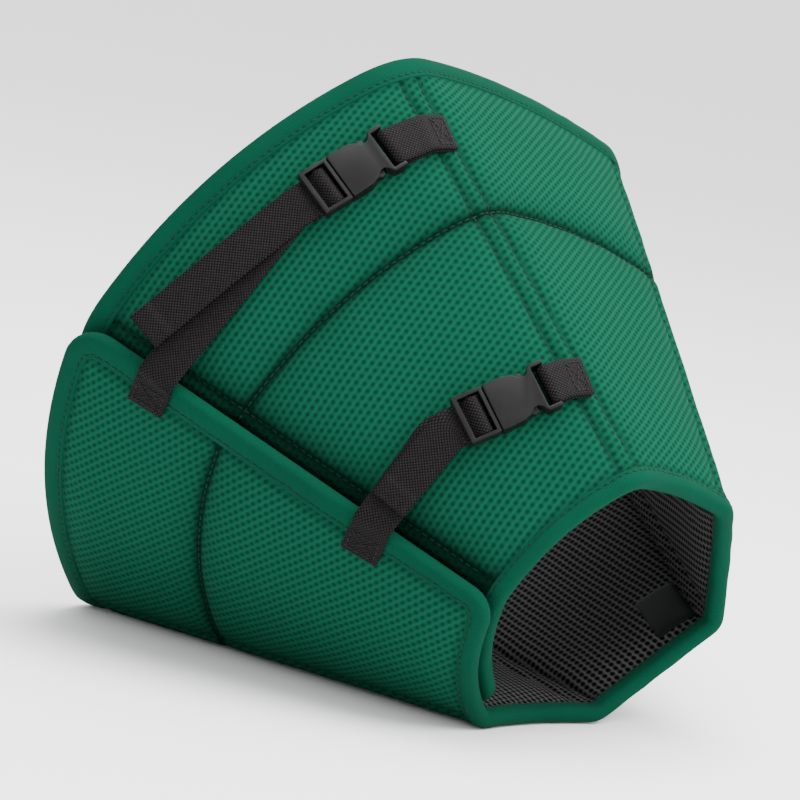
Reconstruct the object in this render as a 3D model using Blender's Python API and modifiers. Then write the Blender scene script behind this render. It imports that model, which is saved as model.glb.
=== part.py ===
"""A padded recovery collar for a pet: a quilted sheet rolled into a six-sided cone and buckled shut.

The collar lies on one of its padded panels. The sheet has seven panels, so its last panel, the
flap, overlaps the first one. Two webbing straps on the flap's free edge run to side-release
buckles on the next panel. Lengths are in metres and +Z is up.
"""

import math
from typing import NamedTuple

import bmesh
import bpy
from mathutils import Matrix, Vector

NAME = "recovery_collar"

# The cone: the rim's radius over its corners, and the neck, the depth and the seam as shares of it
RIM_RADIUS = 0.140
NECK_SHARE = 0.431
DEPTH = 1.183 * RIM_RADIUS
MIDDLE_SEAM = 0.367
RIM_SAG = 0.056 * RIM_RADIUS
SLANT = 0.1835

# The padded sheet: half thicknesses measured from its middle layer
HALF_GAP = 0.00015
SEAM_HALF = 0.0020
PAD_HALF = 0.0045
FLOOR_HALF = 0.0036
PAD_RISE = 0.006
CHANNEL_HALF = 0.0035
SHEET_START = 0.03
RIM_CORNER = 0.013
NECK_CORNER = 0.009

# The binding tape folded round every edge of the sheet
TAPE_WIDTH = 0.0075
TAPE_PROUD = 0.0015
TAPE_HALF = 0.0034
TAPE_WALL = 0.0009

# Webbing, its stitched ends and the buckles
WEB_WIDTH = 0.015
WEB_THICK = 0.0014
WEB_CLEAR = 0.0003
TAB_ON_FLAP = 0.012
BUCKLE_HEIGHT = 0.0078
SOCKET_LENGTH = 0.024
SOCKET_THICK = 0.0066
PLUG_FRAME = 0.5 * SOCKET_LENGTH
PLUG_THICK = 0.0056
BLADE_THICK = 0.0030
ARM_CLEAR = 0.0003

# Half of the slots that the webbing passes, and half of the buckle with its rails
SLOT_HALF = WEB_WIDTH / 2.0 + 0.0004
BUCKLE_HALF = SLOT_HALF + 0.0014

# The bars that the webbing turns round, and the heights of its two strands at the plug
BAR_HALF = 0.0009
BAR_WRAP = BAR_HALF + WEB_CLEAR + WEB_THICK / 2.0 + 0.0002
MIDDLE_BAR = -0.467 * PLUG_FRAME
SOCKET_BAR = SOCKET_LENGTH - BAR_HALF
LOWER_STRAND = -0.0026
UPPER_STRAND = -0.0008

LABEL_WIDTH = 0.017
LABEL_LENGTH = 0.027
LABEL_THICK = 0.0008
LABEL_CLEAR = 0.0005
LABEL_PLACE = 4.2
LABEL_SLANT = 0.875


class Corner(NamedTuple):
    """One edge of the six-sided cone, where two panels fold."""

    turn: float
    reach: float
    softness: float


class Panel(NamedTuple):
    """One panel of the sheet, from one corner of the cone to the next.

    bow is how far it domes, as a share of its width. The layers are how far the sheet stands
    outside the cone's own surface at the panel's start, middle and end.
    """

    first: int
    last: int
    bow: float
    layer_start: float
    layer_middle: float
    layer_end: float


# turn in degrees off an even sixth, reach as a share of the rim radius, softness as a share of a panel
CORNERS = (
    Corner(turn=3.0, reach=0.92, softness=0.05),
    Corner(turn=-0.9, reach=1.07, softness=0.05),
    Corner(turn=-2.3, reach=0.93, softness=0.06),
    Corner(turn=-1.8, reach=1.01, softness=0.10),
    Corner(turn=1.7, reach=1.03, softness=0.05),
    Corner(turn=0.3, reach=1.02, softness=0.05),
)

# Underlap, buckle panel, top panel, two back panels, floor panel, flap
PANELS = (
    Panel(first=5, last=4, bow=0.055, layer_start=-0.0090, layer_middle=-0.0058, layer_end=-0.0045),
    Panel(first=4, last=3, bow=0.065, layer_start=-0.0045, layer_middle=-0.0020, layer_end=0.0),
    Panel(first=3, last=2, bow=0.005, layer_start=0.0, layer_middle=0.0, layer_end=0.0),
    Panel(first=2, last=1, bow=0.030, layer_start=0.0, layer_middle=0.0, layer_end=0.0),
    Panel(first=1, last=0, bow=0.040, layer_start=0.0, layer_middle=0.0, layer_end=0.0),
    Panel(first=0, last=5, bow=0.0, layer_start=0.0, layer_middle=0.0, layer_end=0.0),
    Panel(first=5, last=4, bow=0.055, layer_start=0.0, layer_middle=0.0042, layer_end=0.0045),
)
FLOOR_PANEL = 5
FLAP = 6


class Strap(NamedTuple):
    """One strap and buckle. Places are (sheet panels, share of the slant)."""

    sewn: float
    male: tuple
    junction: tuple
    female: tuple
    tab: tuple
    tail: tuple
    tail_lift: float


STRAPS = {
    "upper": Strap(
        sewn=0.200, male=(1.606, 0.174), junction=(1.686, 0.177), female=(1.870, 0.174),
        tab=(2.022, 0.184), tail=(1.056, 0.128), tail_lift=0.0125,
    ),
    "lower": Strap(
        sewn=0.722, male=(1.476, 0.731), junction=(1.611, 0.736), female=(1.837, 0.755),
        tab=(2.020, 0.765), tail=(1.07, 0.7235), tail_lift=0.0103,
    ),
}

APEX = Vector((0.0, 0.0, DEPTH / (1.0 - NECK_SHARE)))


def corner_point(index):
    """A corner of the wide rim, on the cone's own surface."""
    row = CORNERS[index]
    angle = math.radians(60.0 * index + row.turn)
    reach = RIM_RADIUS * row.reach
    return Vector((reach * math.cos(angle), reach * math.sin(angle), 0.0))


def panel_at(place):
    """The panel number and the share of it at a place along the sheet."""
    number = min(max(int(math.floor(place)), 0), len(PANELS) - 1)
    return number, place - number


def panel_normal(number):
    """The outward normal of a panel's flat plane."""
    start = corner_point(PANELS[number].first)
    end = corner_point(PANELS[number].last)
    normal = (end - start).cross(APEX - start).normalized()
    if normal.dot(start + end) < 0.0:
        normal.negate()
    return normal


def sharp_rim(place):
    """The rim line with sharp corners: bowed outward, and sagging away from the neck."""
    number, share = panel_at(place)
    row = PANELS[number]
    start = corner_point(row.first)
    end = corner_point(row.last)
    normal = panel_normal(number)
    width = (end - start).length
    down = normal.cross((end - start).normalized())
    if down.dot(APEX - start) > 0.0:
        down.negate()
    swell = 4.0 * share * (1.0 - share)
    return start.lerp(end, share) + (normal * row.bow * width + down * RIM_SAG) * swell


def rim(place):
    """The rim line with the folds between panels rounded. The sheet's two ends stay flat."""
    nearest = int(round(place))
    if nearest < 1 or nearest > len(PANELS) - 1:
        return sharp_rim(place)
    soft = CORNERS[PANELS[nearest].first].softness
    if abs(place - nearest) >= soft:
        return sharp_rim(place)
    share = (place - nearest + soft) / (2.0 * soft)
    before = sharp_rim(nearest - soft)
    after = sharp_rim(nearest + soft)
    middle = sharp_rim(nearest)
    return before * (1.0 - share) ** 2 + middle * 2.0 * share * (1.0 - share) + after * share ** 2


def normal_at(place):
    """The outward normal, which is the same all along the slant."""
    step = 0.0015
    low = max(place - step, 0.0)
    high = min(place + step, float(len(PANELS)))
    normal = (rim(high) - rim(low)).cross(APEX - rim(place)).normalized()
    if normal.dot(panel_normal(panel_at(place)[0])) < 0.0:
        normal.negate()
    return normal


def layer_at(place):
    """How far the sheet's middle layer stands outside the cone's own surface."""
    number, share = panel_at(place)
    row = PANELS[number]
    return (
        row.layer_start * (1.0 - share) * (1.0 - 2.0 * share)
        + row.layer_middle * 4.0 * share * (1.0 - share)
        + row.layer_end * share * (2.0 * share - 1.0)
    )


def scale_at(slant):
    """The cone's size at a share of the slant, against its size at the rim."""
    return 1.0 - slant * (1.0 - NECK_SHARE)


def cone_point(place, slant, height=0.0):
    """A point at a height outside the cone's own surface."""
    return APEX + (rim(place) - APEX) * scale_at(slant) + normal_at(place) * height


def sheet_point(place, slant, height=0.0):
    """A point at a height outside the sheet's middle layer."""
    return cone_point(place, slant, layer_at(place) + height)


def sheet_normal(place, slant):
    """The outward normal of the sheet itself, which leans where its layer rises or falls."""
    low = max(place - 0.004, SHEET_START)
    high = min(place + 0.004, float(len(PANELS)))
    across = sheet_point(high, slant) - sheet_point(low, slant)
    normal = across.cross(APEX - rim(place)).normalized()
    if normal.dot(normal_at(place)) < 0.0:
        normal.negate()
    return normal


# The object's own frame: the floor panel lies flat, its neck end points along +X
def floor_frame():
    """The turn and shift that lay the floor panel's outer face on the plane of the floor."""
    low = corner_point(PANELS[FLOOR_PANEL].last)
    high = corner_point(PANELS[FLOOR_PANEL].first)
    middle = (low + high) / 2.0
    forward = ((APEX - middle) * (1.0 - NECK_SHARE)).normalized()
    across = high - low
    across = (across - forward * forward.dot(across)).normalized()
    up = forward.cross(across)
    turn = Matrix((forward, across, up)).to_4x4()
    level = turn @ middle
    return Matrix.Translation(Vector((-level.x, -level.y, FLOOR_HALF + HALF_GAP - level.z))) @ turn


FRAME = floor_frame()


def placed(point):
    """A point of the cone, in the object's own frame."""
    return FRAME @ point


def placed_direction(direction):
    """A direction of the cone, in the object's own frame."""
    return FRAME.to_3x3() @ direction


def panel_width(place, slant):
    """The panel's width across at a share of the slant."""
    row = PANELS[panel_at(place)[0]]
    return (corner_point(row.last) - corner_point(row.first)).length * scale_at(slant)


def rise(distance):
    """From 0 at a stitched line to 1 out in the pad."""
    return 1.0 - math.exp(-max(distance, 0.0) / PAD_RISE)


def half_thickness(place, slant, outside):
    """Half of the padded sheet's thickness, thin at the tape and the seams."""
    ends = min(
        (place - SHEET_START) * panel_width(place, slant),
        (len(PANELS) - place) * panel_width(place, slant),
        slant * SLANT,
        (1.0 - slant) * SLANT,
    )
    from_tape = ends - TAPE_WIDTH - 0.0008
    nearest = min(max(int(round(place)), 1), len(PANELS) - 1)
    from_fold = abs(place - nearest) * panel_width(place, slant) - CHANNEL_HALF + 0.0004
    from_ring = abs(slant - MIDDLE_SEAM) * SLANT - CHANNEL_HALF + 0.0004
    inner_edge = SEAM_HALF - HALF_GAP
    if outside and panel_at(place)[0] == FLOOR_PANEL:
        pressed = from_tape > 0.003 and from_fold > 0.0
        return FLOOR_HALF if pressed else inner_edge
    puff = rise(from_tape) * rise(from_fold) * rise(from_ring)
    return inner_edge + (PAD_HALF - SEAM_HALF) * puff


# Columns of the sheet as distances from a panel's seam, and rows as distances along the slant
COLUMN_STEPS = (0.0, CHANNEL_HALF, 0.011)
END_STEPS = (0.0, 0.0018, 0.0055, 0.0095, 0.016)
ROW_STEPS_RIM = (0.0, 0.0085, 0.016, 0.034)
ROW_STEPS_RING = (-0.013, -CHANNEL_HALF, 0.0, CHANNEL_HALF, 0.013)
ROW_STEPS_NECK = (0.050, 0.022, 0.016, 0.0085, 0.0)


def slant_rows():
    """The shares of the slant at which the sheet has a row of points."""
    rows = [step / SLANT for step in ROW_STEPS_RIM]
    rows += [MIDDLE_SEAM + step / SLANT for step in ROW_STEPS_RING]
    rows += [1.0 - step / SLANT for step in ROW_STEPS_NECK]
    return rows


def column_codes():
    """The columns as (seam, distance to it) or (panel, share), from the sheet's start to its end."""
    codes = [("after", SHEET_START, step) for step in END_STEPS]
    for number in range(len(PANELS)):
        if number > 0:
            codes += [("after", float(number), step) for step in COLUMN_STEPS]
        codes.append(("share", number, 0.5))
        if number < len(PANELS) - 1:
            codes += [("before", number + 1.0, step) for step in COLUMN_STEPS[:0:-1]]
    codes += [("before", float(len(PANELS)), step) for step in reversed(END_STEPS)]
    return codes


def column_place(code, slant):
    """Where a column crosses a row."""
    kind, anchor, value = code
    if kind == "share":
        return anchor + value
    if kind == "after":
        return anchor + value / panel_width(anchor, slant)
    return anchor - value / panel_width(anchor - 0.5, slant)


def corner_cut(code, radius):
    """How much of the slant a rounded corner of the sheet takes away at this column."""
    kind, anchor, value = code
    at_end = (kind == "after" and anchor == SHEET_START) or (kind == "before" and anchor == len(PANELS))
    if not at_end or value >= radius:
        return 0.0
    return (radius - math.sqrt(radius ** 2 - (radius - value) ** 2)) / SLANT


def sheet_grid():
    """The (place, slant) of every point of the sheet, column by column."""
    grid = []
    rows = slant_rows()
    for code in column_codes():
        low = corner_cut(code, RIM_CORNER)
        high = corner_cut(code, NECK_CORNER)
        column = []
        for slant in rows:
            if slant < 0.2:
                slant = low + (0.2 - low) * slant / 0.2
            elif slant > 0.85:
                slant = 0.85 + (0.15 - high) * (slant - 0.85) / 0.15
            column.append((column_place(code, slant), slant))
        grid.append(column)
    return grid


def material(name, colour, roughness, metallic=0.0):
    """A plain Principled material."""
    made = bpy.data.materials.new(name)
    made.use_nodes = True
    shader = made.node_tree.nodes["Principled BSDF"]
    shader.inputs["Base Color"].default_value = (*colour, 1.0)
    shader.inputs["Roughness"].default_value = roughness
    shader.inputs["Metallic"].default_value = metallic
    return made


def link(name, mesh, look, group):
    """Puts a mesh in the scene as a named object."""
    made = bpy.data.objects.new(name, mesh)
    made.data.materials.append(look)
    group.objects.link(made)
    return made


def mesh_from(name, points, faces):
    """A mesh of the points and faces, with its faces pointing the same way."""
    mesh = bpy.data.meshes.new(name)
    mesh.from_pydata([tuple(point) for point in points], [], faces)
    mesh.update()
    return mesh


def padded_sheet(name, side, look, group):
    """One side of the padded sheet: an open surface that Solidify thickens toward that side."""
    grid = sheet_grid()
    rows = len(grid[0])
    points = []
    weights = []
    for column in grid:
        for place, slant in column:
            points.append(placed(sheet_point(place, slant, side * HALF_GAP)))
            weights.append(half_thickness(place, slant, side > 0) / PAD_HALF)
    faces = []
    for column in range(len(grid) - 1):
        for row in range(rows - 1):
            corner = column * rows + row
            faces.append((corner, corner + 1, corner + rows + 1, corner + rows))
    made = link(name, mesh_from(name, points, faces), look, group)
    pads = made.vertex_groups.new(name="pads")
    for index, weight in enumerate(weights):
        pads.add([index], weight, "REPLACE")
    shell = made.modifiers.new("padding", "SOLIDIFY")
    shell.thickness = PAD_HALF
    shell.offset = float(side)
    shell.vertex_group = "pads"
    shell.use_rim = True
    made.data.shade_smooth()
    return made


def loft(sections, closed):
    """Points and faces through sections with the same number of points."""
    count = len(sections[0])
    points = [point for section in sections for point in section]
    faces = []
    spans = len(sections) if closed else len(sections) - 1
    for span in range(spans):
        here = span * count
        there = ((span + 1) % len(sections)) * count
        for step in range(count):
            after = (step + 1) % count
            faces.append((here + step, here + after, there + after, there + step))
    if not closed:
        faces.append(tuple(reversed(range(count))))
        faces.append(tuple(range(len(points) - count, len(points))))
    return points, faces


def tape_section():
    """The U of the folded tape: (inward from the sheet's edge, out from its middle)."""
    inner = TAPE_HALF - TAPE_WALL
    return (
        (TAPE_WIDTH, TAPE_HALF),
        (-0.0006, TAPE_HALF),
        (-TAPE_PROUD, 0.5 * TAPE_HALF),
        (-TAPE_PROUD, -0.5 * TAPE_HALF),
        (-0.0006, -TAPE_HALF),
        (TAPE_WIDTH, -TAPE_HALF),
        (TAPE_WIDTH, -inner),
        (-0.0003, -inner),
        (-0.0003, inner),
        (TAPE_WIDTH, inner),
    )


def edge_binding(name, look, group):
    """The tape all round the sheet's edge."""
    grid = sheet_grid()
    around = [column[0] for column in grid]
    around += grid[-1][1:-1]
    around += [column[-1] for column in reversed(grid)]
    around += list(reversed(grid[0][1:-1]))
    points = [sheet_point(place, slant) for place, slant in around]
    sections = []
    for index, (place, slant) in enumerate(around):
        ahead = (points[(index + 1) % len(points)] - points[index]).normalized()
        behind = (points[index] - points[index - 1]).normalized()
        along = (ahead + behind).normalized()
        normal = sheet_normal(place, slant)
        inward = along.cross(normal).normalized()
        stretch = 1.0 / max(math.cos(ahead.angle(behind) / 2.0), 0.8)
        flat_turn = abs(ahead.cross(behind).dot(normal)) > 0.5 * ahead.cross(behind).length
        stretch = stretch if flat_turn else 1.0
        section = [
            placed(points[index] + inward * reach * stretch + normal * out)
            for reach, out in tape_section()
        ]
        sections.append(section)
    made_points, faces = loft(sections, closed=True)
    made = link(name, mesh_from(name, made_points, faces), look, group)
    face_out(made)
    made.data.shade_smooth()
    made.data.set_sharp_from_angle(angle=math.radians(40.0))
    return made


def face_out(made):
    """Turns every face of a closed object outward."""
    shape = bmesh.new()
    shape.from_mesh(made.data)
    bmesh.ops.recalc_face_normals(shape, faces=shape.faces)
    shape.to_mesh(made.data)
    shape.free()


def smooth_path(points, steps):
    """A Catmull-Rom path through the points."""
    path = []
    for index in range(len(points) - 1):
        a = points[max(index - 1, 0)]
        b = points[index]
        c = points[index + 1]
        d = points[min(index + 2, len(points) - 1)]
        for step in range(steps):
            t = step / steps
            path.append(
                0.5 * (
                    2.0 * b + (c - a) * t
                    + (2.0 * a - 5.0 * b + 4.0 * c - d) * t ** 2
                    + (3.0 * b - a - 3.0 * c + d) * t ** 3
                )
            )
    path.append(points[-1])
    return path


def web_ribbon(name, path, sides, look, group):
    """Flat webbing: a two-edged open strip along a path, thickened evenly both ways."""
    points = []
    for point, side in zip(path, sides):
        points.append(placed(point - side * WEB_WIDTH / 2.0))
        points.append(placed(point + side * WEB_WIDTH / 2.0))
    faces = [(2 * row, 2 * row + 1, 2 * row + 3, 2 * row + 2) for row in range(len(path) - 1)]
    made = link(name, mesh_from(name, points, faces), look, group)
    shell = made.modifiers.new("thickness", "SOLIDIFY")
    shell.thickness = WEB_THICK
    shell.offset = 0.0
    shell.use_even_offset = True
    shell.use_rim = True
    return made


# A buckle's own frame: x from the plug to the socket, y across, z out of the panel
def buckle_frame(row):
    """The buckle's frame on its panel, in the cone's frame."""
    origin = cone_point(*row.junction, BUCKLE_HEIGHT)
    toward = cone_point(*row.female, BUCKLE_HEIGHT * 0.93) - origin
    middle = (row.male[0] + row.female[0]) / 2.0
    up = normal_at(middle)
    forward = toward.normalized()
    up = (up - forward * forward.dot(up)).normalized()
    across = up.cross(forward)
    frame = Matrix((forward, across, up)).transposed().to_4x4()
    frame.translation = origin
    return frame


def wrap(centre_x, centre_z, start, end, steps):
    """Points round a bar, from one angle to another in degrees."""
    angles = [math.radians(start + (end - start) * step / steps) for step in range(steps + 1)]
    return [
        Vector((centre_x + BAR_WRAP * math.cos(a), 0.0, centre_z + BAR_WRAP * math.sin(a)))
        for a in angles
    ]


def strap_path(row):
    """The strap from its stitched end, round the plug's bar and back to the end of its tail."""
    frame = buckle_frame(row)
    flap_half = TAPE_HALF + WEB_CLEAR + WEB_THICK / 2.0
    width = panel_width(FLAP + 0.5, row.sewn)
    knots = []
    for inward, lift in ((TAB_ON_FLAP, 0.0012), (0.006, 0.0005), (0.0005, 0.0005)):
        place = FLAP + 1.0 - inward / width
        knots.append(sheet_point(place, row.sewn, flap_half + lift))
    edge = sheet_point(FLAP + 1.0, row.sewn, flap_half)
    beyond = (edge - sheet_point(FLAP + 1.0 - 0.01 / width, row.sewn, flap_half)).normalized()
    bend = edge + beyond * 0.0038 + normal_at(FLAP + 1.0) * 0.0002
    toe = frame @ Vector((-PLUG_FRAME - 0.0100, 0.0, LOWER_STRAND))
    knots += [bend, bend.lerp(toe, 0.35), bend.lerp(toe, 0.70), toe]
    knots.append(frame @ Vector((-PLUG_FRAME - 0.0030, 0.0, LOWER_STRAND)))
    path = smooth_path(knots, 3)
    sides = [web_side(path, index) for index in range(len(path))]
    strap_end = -PLUG_FRAME - 0.0010
    local = [Vector((strap_end, 0.0, LOWER_STRAND)), Vector((strap_end + 0.0030, 0.0, LOWER_STRAND))]
    local.append(Vector((MIDDLE_BAR, 0.0, LOWER_STRAND)))
    local += wrap(MIDDLE_BAR, -0.0003, -50.0, 180.0, 6)
    local.append(Vector((strap_end + 0.0035, 0.0, UPPER_STRAND)))
    local.append(Vector((strap_end, 0.0, UPPER_STRAND)))
    across = frame.to_3x3() @ Vector((0.0, 1.0, 0.0))
    path += [frame @ point for point in local]
    sides += [across] * len(local)
    return path, sides, frame


def web_side(path, index):
    """The direction across the webbing at a point of its path, level with the panel below."""
    ahead = path[min(index + 1, len(path) - 1)]
    behind = path[max(index - 1, 0)]
    along = (ahead - behind).normalized()
    axis = Vector((0.0, 0.0, 1.0))
    foot = path[index] - axis * path[index].dot(axis)
    outward = foot.normalized()
    generator = (APEX - path[index]).normalized()
    side = generator - along * along.dot(generator)
    side = side.normalized()
    if side.dot(axis) < 0.0 or outward.length == 0.0:
        side.negate()
    return side


def tail_path(row, frame):
    """The free tail, lying over the strap and drifting toward the rim."""
    knots = [frame @ Vector((-PLUG_FRAME - 0.0010, 0.0, UPPER_STRAND))]
    knots.append(frame @ Vector((-PLUG_FRAME - 0.0050, 0.0, UPPER_STRAND + 0.0001)))
    start = knots[-1]
    end = cone_point(*row.tail, row.tail_lift)
    knots += [start.lerp(end, share) for share in (0.33, 0.67, 1.0)]
    path = smooth_path(knots, 3)
    return path, [web_side(path, index) for index in range(len(path))]


def plate(name, outline, thickness):
    """A flat plate from half of its outline, which mirrors across its length."""
    half = [(along * SOCKET_LENGTH, across * BUCKLE_HALF) for along, across in outline]
    points = half + [(x, -y) for x, y in reversed(half)]
    curve = bpy.data.curves.new(name, "CURVE")
    curve.dimensions = "2D"
    curve.fill_mode = "BOTH"
    curve.extrude = thickness / 2.0
    line = curve.splines.new("POLY")
    line.points.add(len(points) - 1)
    for target, (x, y) in zip(line.points, points):
        target.co = (x, y, 0.0, 1.0)
    line.use_cyclic_u = True
    source = bpy.data.objects.new(name, curve)
    bpy.context.scene.collection.objects.link(source)
    bpy.context.view_layer.update()
    mesh = bpy.data.meshes.new_from_object(source.evaluated_get(bpy.context.evaluated_depsgraph_get()))
    bpy.data.objects.remove(source)
    shape = bmesh.new()
    shape.from_mesh(mesh)
    bmesh.ops.remove_doubles(shape, verts=shape.verts, dist=0.00001)
    bmesh.ops.recalc_face_normals(shape, faces=shape.faces)
    shape.to_mesh(mesh)
    shape.free()
    return mesh


def box_mesh(name, low, high):
    """A box between two corners."""
    shape = bmesh.new()
    bmesh.ops.create_cube(shape, size=1.0)
    low = Vector(low)
    high = Vector(high)
    size = high - low
    bmesh.ops.scale(shape, vec=size, verts=shape.verts)
    bmesh.ops.translate(shape, vec=(low + high) / 2.0, verts=shape.verts)
    mesh = bpy.data.meshes.new(name)
    shape.to_mesh(mesh)
    shape.free()
    return mesh


def combine(target, mesh, operation, label, matrix, group):
    """Adds or cuts a guide shape that keeps the target's frame."""
    guide = bpy.data.objects.new(label, mesh)
    group.objects.link(guide)
    guide.matrix_world = matrix
    guide.hide_render = True
    guide.display_type = "WIRE"
    change = target.modifiers.new(label, "BOOLEAN")
    change.operation = operation
    change.object = guide
    change.solver = "EXACT"


# Half outlines: along in socket lengths from the junction, across in half widths of the buckle
ARM_REACH = 0.73
SLOT_START = 0.792
SOCKET_OUTLINE = (
    (0.012, 0.968), (0.050, 1.0), (0.375, 0.968), (0.492, 0.860), (0.583, 0.667),
    (0.650, 0.634), (0.708, 0.731), (0.767, 0.968), (SLOT_START, 1.0), (1.0, 1.0),
)
PLUG_OUTLINE = (
    (-0.500, 0.925), (-0.467, 1.0), (-0.033, 1.0), (-0.008, 0.946), (-0.008, ARM_REACH),
    (0.458, ARM_REACH), (0.575, 0.903), (0.633, 0.839), (0.658, 0.538), (0.583, 0.538),
    (0.500, 0.452), (0.033, 0.452), (0.033, 0.172), (0.500, 0.129),
)


def middle_box(name, start, end, half_width, low, high):
    """A box across the buckle's middle line, from start to end along it."""
    return box_mesh(name, (start, -half_width, low), (end, half_width, high))


def buckle(name, row, looks, parts, cutters):
    """A fastened side-release buckle: the socket with its webbing bar, and the plug inside it."""
    frame = FRAME @ buckle_frame(row)
    socket = link(name + "_buckle_socket", plate("socket", SOCKET_OUTLINE, SOCKET_THICK), looks, parts)
    socket.matrix_world = frame
    reach = ARM_REACH * BUCKLE_HALF + ARM_CLEAR
    thin = BLADE_THICK / 2.0 + ARM_CLEAR
    gate_end = 0.675 * SOCKET_LENGTH
    cavity = middle_box("cavity", -0.001, gate_end, reach, -thin, thin)
    combine(socket, cavity, "DIFFERENCE", name + "_socket_cavity", frame, cutters)
    gates = middle_box("gates", 0.442 * SOCKET_LENGTH, gate_end, BUCKLE_HALF + 0.001, -thin, thin)
    combine(socket, gates, "DIFFERENCE", name + "_socket_gates", frame, cutters)
    slot_start = SLOT_START * SOCKET_LENGTH
    slot_end = SOCKET_LENGTH - 2.0 * BAR_HALF
    slot = middle_box("slot", slot_start, slot_end, SLOT_HALF, -SOCKET_THICK, SOCKET_THICK)
    combine(socket, slot, "DIFFERENCE", name + "_socket_slot", frame, cutters)
    bar_thin = BAR_HALF - 0.0001
    for side, low, high in (("over", bar_thin, SOCKET_THICK), ("under", -SOCKET_THICK, -bar_thin)):
        relief = middle_box("relief", slot_start, SOCKET_LENGTH + 0.002, SLOT_HALF, low, high)
        combine(socket, relief, "DIFFERENCE", name + "_socket_relief_" + side, frame, cutters)
    plug = link(name + "_buckle_plug", plate("plug", PLUG_OUTLINE, BLADE_THICK), looks, parts)
    plug.matrix_world = frame
    head_half = BUCKLE_HALF - 0.0001
    head = middle_box("head", -PLUG_FRAME + 0.0001, -ARM_CLEAR, head_half, -0.0021, PLUG_THICK / 2.0)
    combine(plug, head, "UNION", name + "_plug_head", frame, cutters)
    rail_end = -PLUG_FRAME + 2.0 * BAR_HALF
    well = middle_box("well", rail_end, -0.133 * PLUG_FRAME, SLOT_HALF, -PLUG_THICK, PLUG_THICK)
    combine(plug, well, "DIFFERENCE", name + "_plug_well", frame, cutters)
    under = middle_box("under", -PLUG_FRAME - 0.001, -0.708 * PLUG_FRAME, SLOT_HALF, -PLUG_THICK, 0.0004)
    combine(plug, under, "DIFFERENCE", name + "_plug_under", frame, cutters)
    bar = middle_box(
        "bar", MIDDLE_BAR - BAR_HALF, MIDDLE_BAR + BAR_HALF, SLOT_HALF + 0.0006, -0.0012, 0.0006
    )
    combine(plug, bar, "UNION", name + "_plug_bar", frame, cutters)
    return socket, plug


def anchor_web(name, row, look, group):
    """The short loop that holds the socket: from the seam, round the socket's bar and back."""
    frame = buckle_frame(row)
    across = frame.to_3x3() @ Vector((0.0, 1.0, 0.0))
    loop = wrap(SOCKET_BAR, 0.0, -75.0, -285.0, 6)
    loop = [frame @ point for point in loop]
    below = []
    above = []
    lift = WEB_CLEAR + WEB_THICK / 2.0
    start = row.female[0] + 0.045
    for share in (1.0, 0.66, 0.3):
        place = start + (row.tab[0] - start) * share
        slant = row.female[1] + (row.tab[1] - row.female[1]) * share
        height = layer_at(place) + half_thickness(place, slant, True) + HALF_GAP + lift + 0.0004
        raised = 0.0012 * (1.0 - share)
        below.append(cone_point(place, slant, height + raised))
        above.append(cone_point(place, slant, height + raised + WEB_THICK + 0.0004 + 0.001 * (1.0 - share)))
    lower = smooth_path(below, 2)
    upper = smooth_path(list(reversed(above)), 2)
    path = lower + loop + upper
    sides = [web_side(lower, index) for index in range(len(lower))]
    sides += [across] * len(loop)
    sides += [web_side(upper, index) for index in range(len(upper))]
    aligned = [side if side.dot(across) > 0.0 else -side for side in sides]
    return web_ribbon(name, path, aligned, look, group)


def neck_label(name, look, group):
    """The small plain patch inside the neck."""
    columns = 5
    rows = 5
    points = []
    for column in range(columns):
        for row in range(rows):
            slant = LABEL_SLANT + (row / (rows - 1) - 0.5) * LABEL_LENGTH / SLANT
            across = (column / (columns - 1) - 0.5) * LABEL_WIDTH
            place = LABEL_PLACE + across / panel_width(LABEL_PLACE, slant)
            height = HALF_GAP + half_thickness(place, slant, False) + LABEL_CLEAR
            points.append(placed(sheet_point(place, slant, -height)))
    faces = []
    for column in range(columns - 1):
        for row in range(rows - 1):
            corner = column * rows + row
            faces.append((corner, corner + 1, corner + rows + 1, corner + rows))
    made = link(name, mesh_from(name, points, faces), look, group)
    shell = made.modifiers.new("thickness", "SOLIDIFY")
    shell.thickness = LABEL_THICK
    shell.offset = -1.0
    return made


def build():
    """Makes every piece of the collar."""
    for old in list(bpy.data.objects):
        bpy.data.objects.remove(old)
    parts = bpy.data.collections.new(NAME)
    cutters = bpy.data.collections.new(NAME + "_cutters")
    bpy.context.scene.collection.children.link(parts)
    bpy.context.scene.collection.children.link(cutters)
    outer_mesh = material("outer_mesh", (0.012, 0.205, 0.105), 0.8)
    lining_mesh = material("lining_mesh", (0.022, 0.024, 0.024), 0.85)
    binding_tape = material("binding_tape", (0.010, 0.150, 0.080), 0.6)
    webbing = material("webbing", (0.012, 0.012, 0.013), 0.7)
    plastic = material("buckle_plastic", (0.045, 0.045, 0.047), 0.45)
    label = material("label", (0.010, 0.030, 0.022), 0.7)
    padded_sheet("outer_cover", 1, outer_mesh, parts)
    padded_sheet("lining", -1, lining_mesh, parts)
    edge_binding("edge_binding", binding_tape, parts)
    for name, row in STRAPS.items():
        path, sides, frame = strap_path(row)
        tail, tail_sides = tail_path(row, frame)
        across = frame.to_3x3() @ Vector((0.0, 1.0, 0.0))
        every = sides + tail_sides[1:]
        aligned = [side if side.dot(across) > 0.0 else -side for side in every]
        web_ribbon(name + "_strap", path + tail[1:], aligned, webbing, parts)
        anchor_web(name + "_anchor_web", row, webbing, parts)
        buckle(name, row, plastic, parts, cutters)
    neck_label("neck_label", label, parts)
    centre_on_floor(parts)


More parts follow.
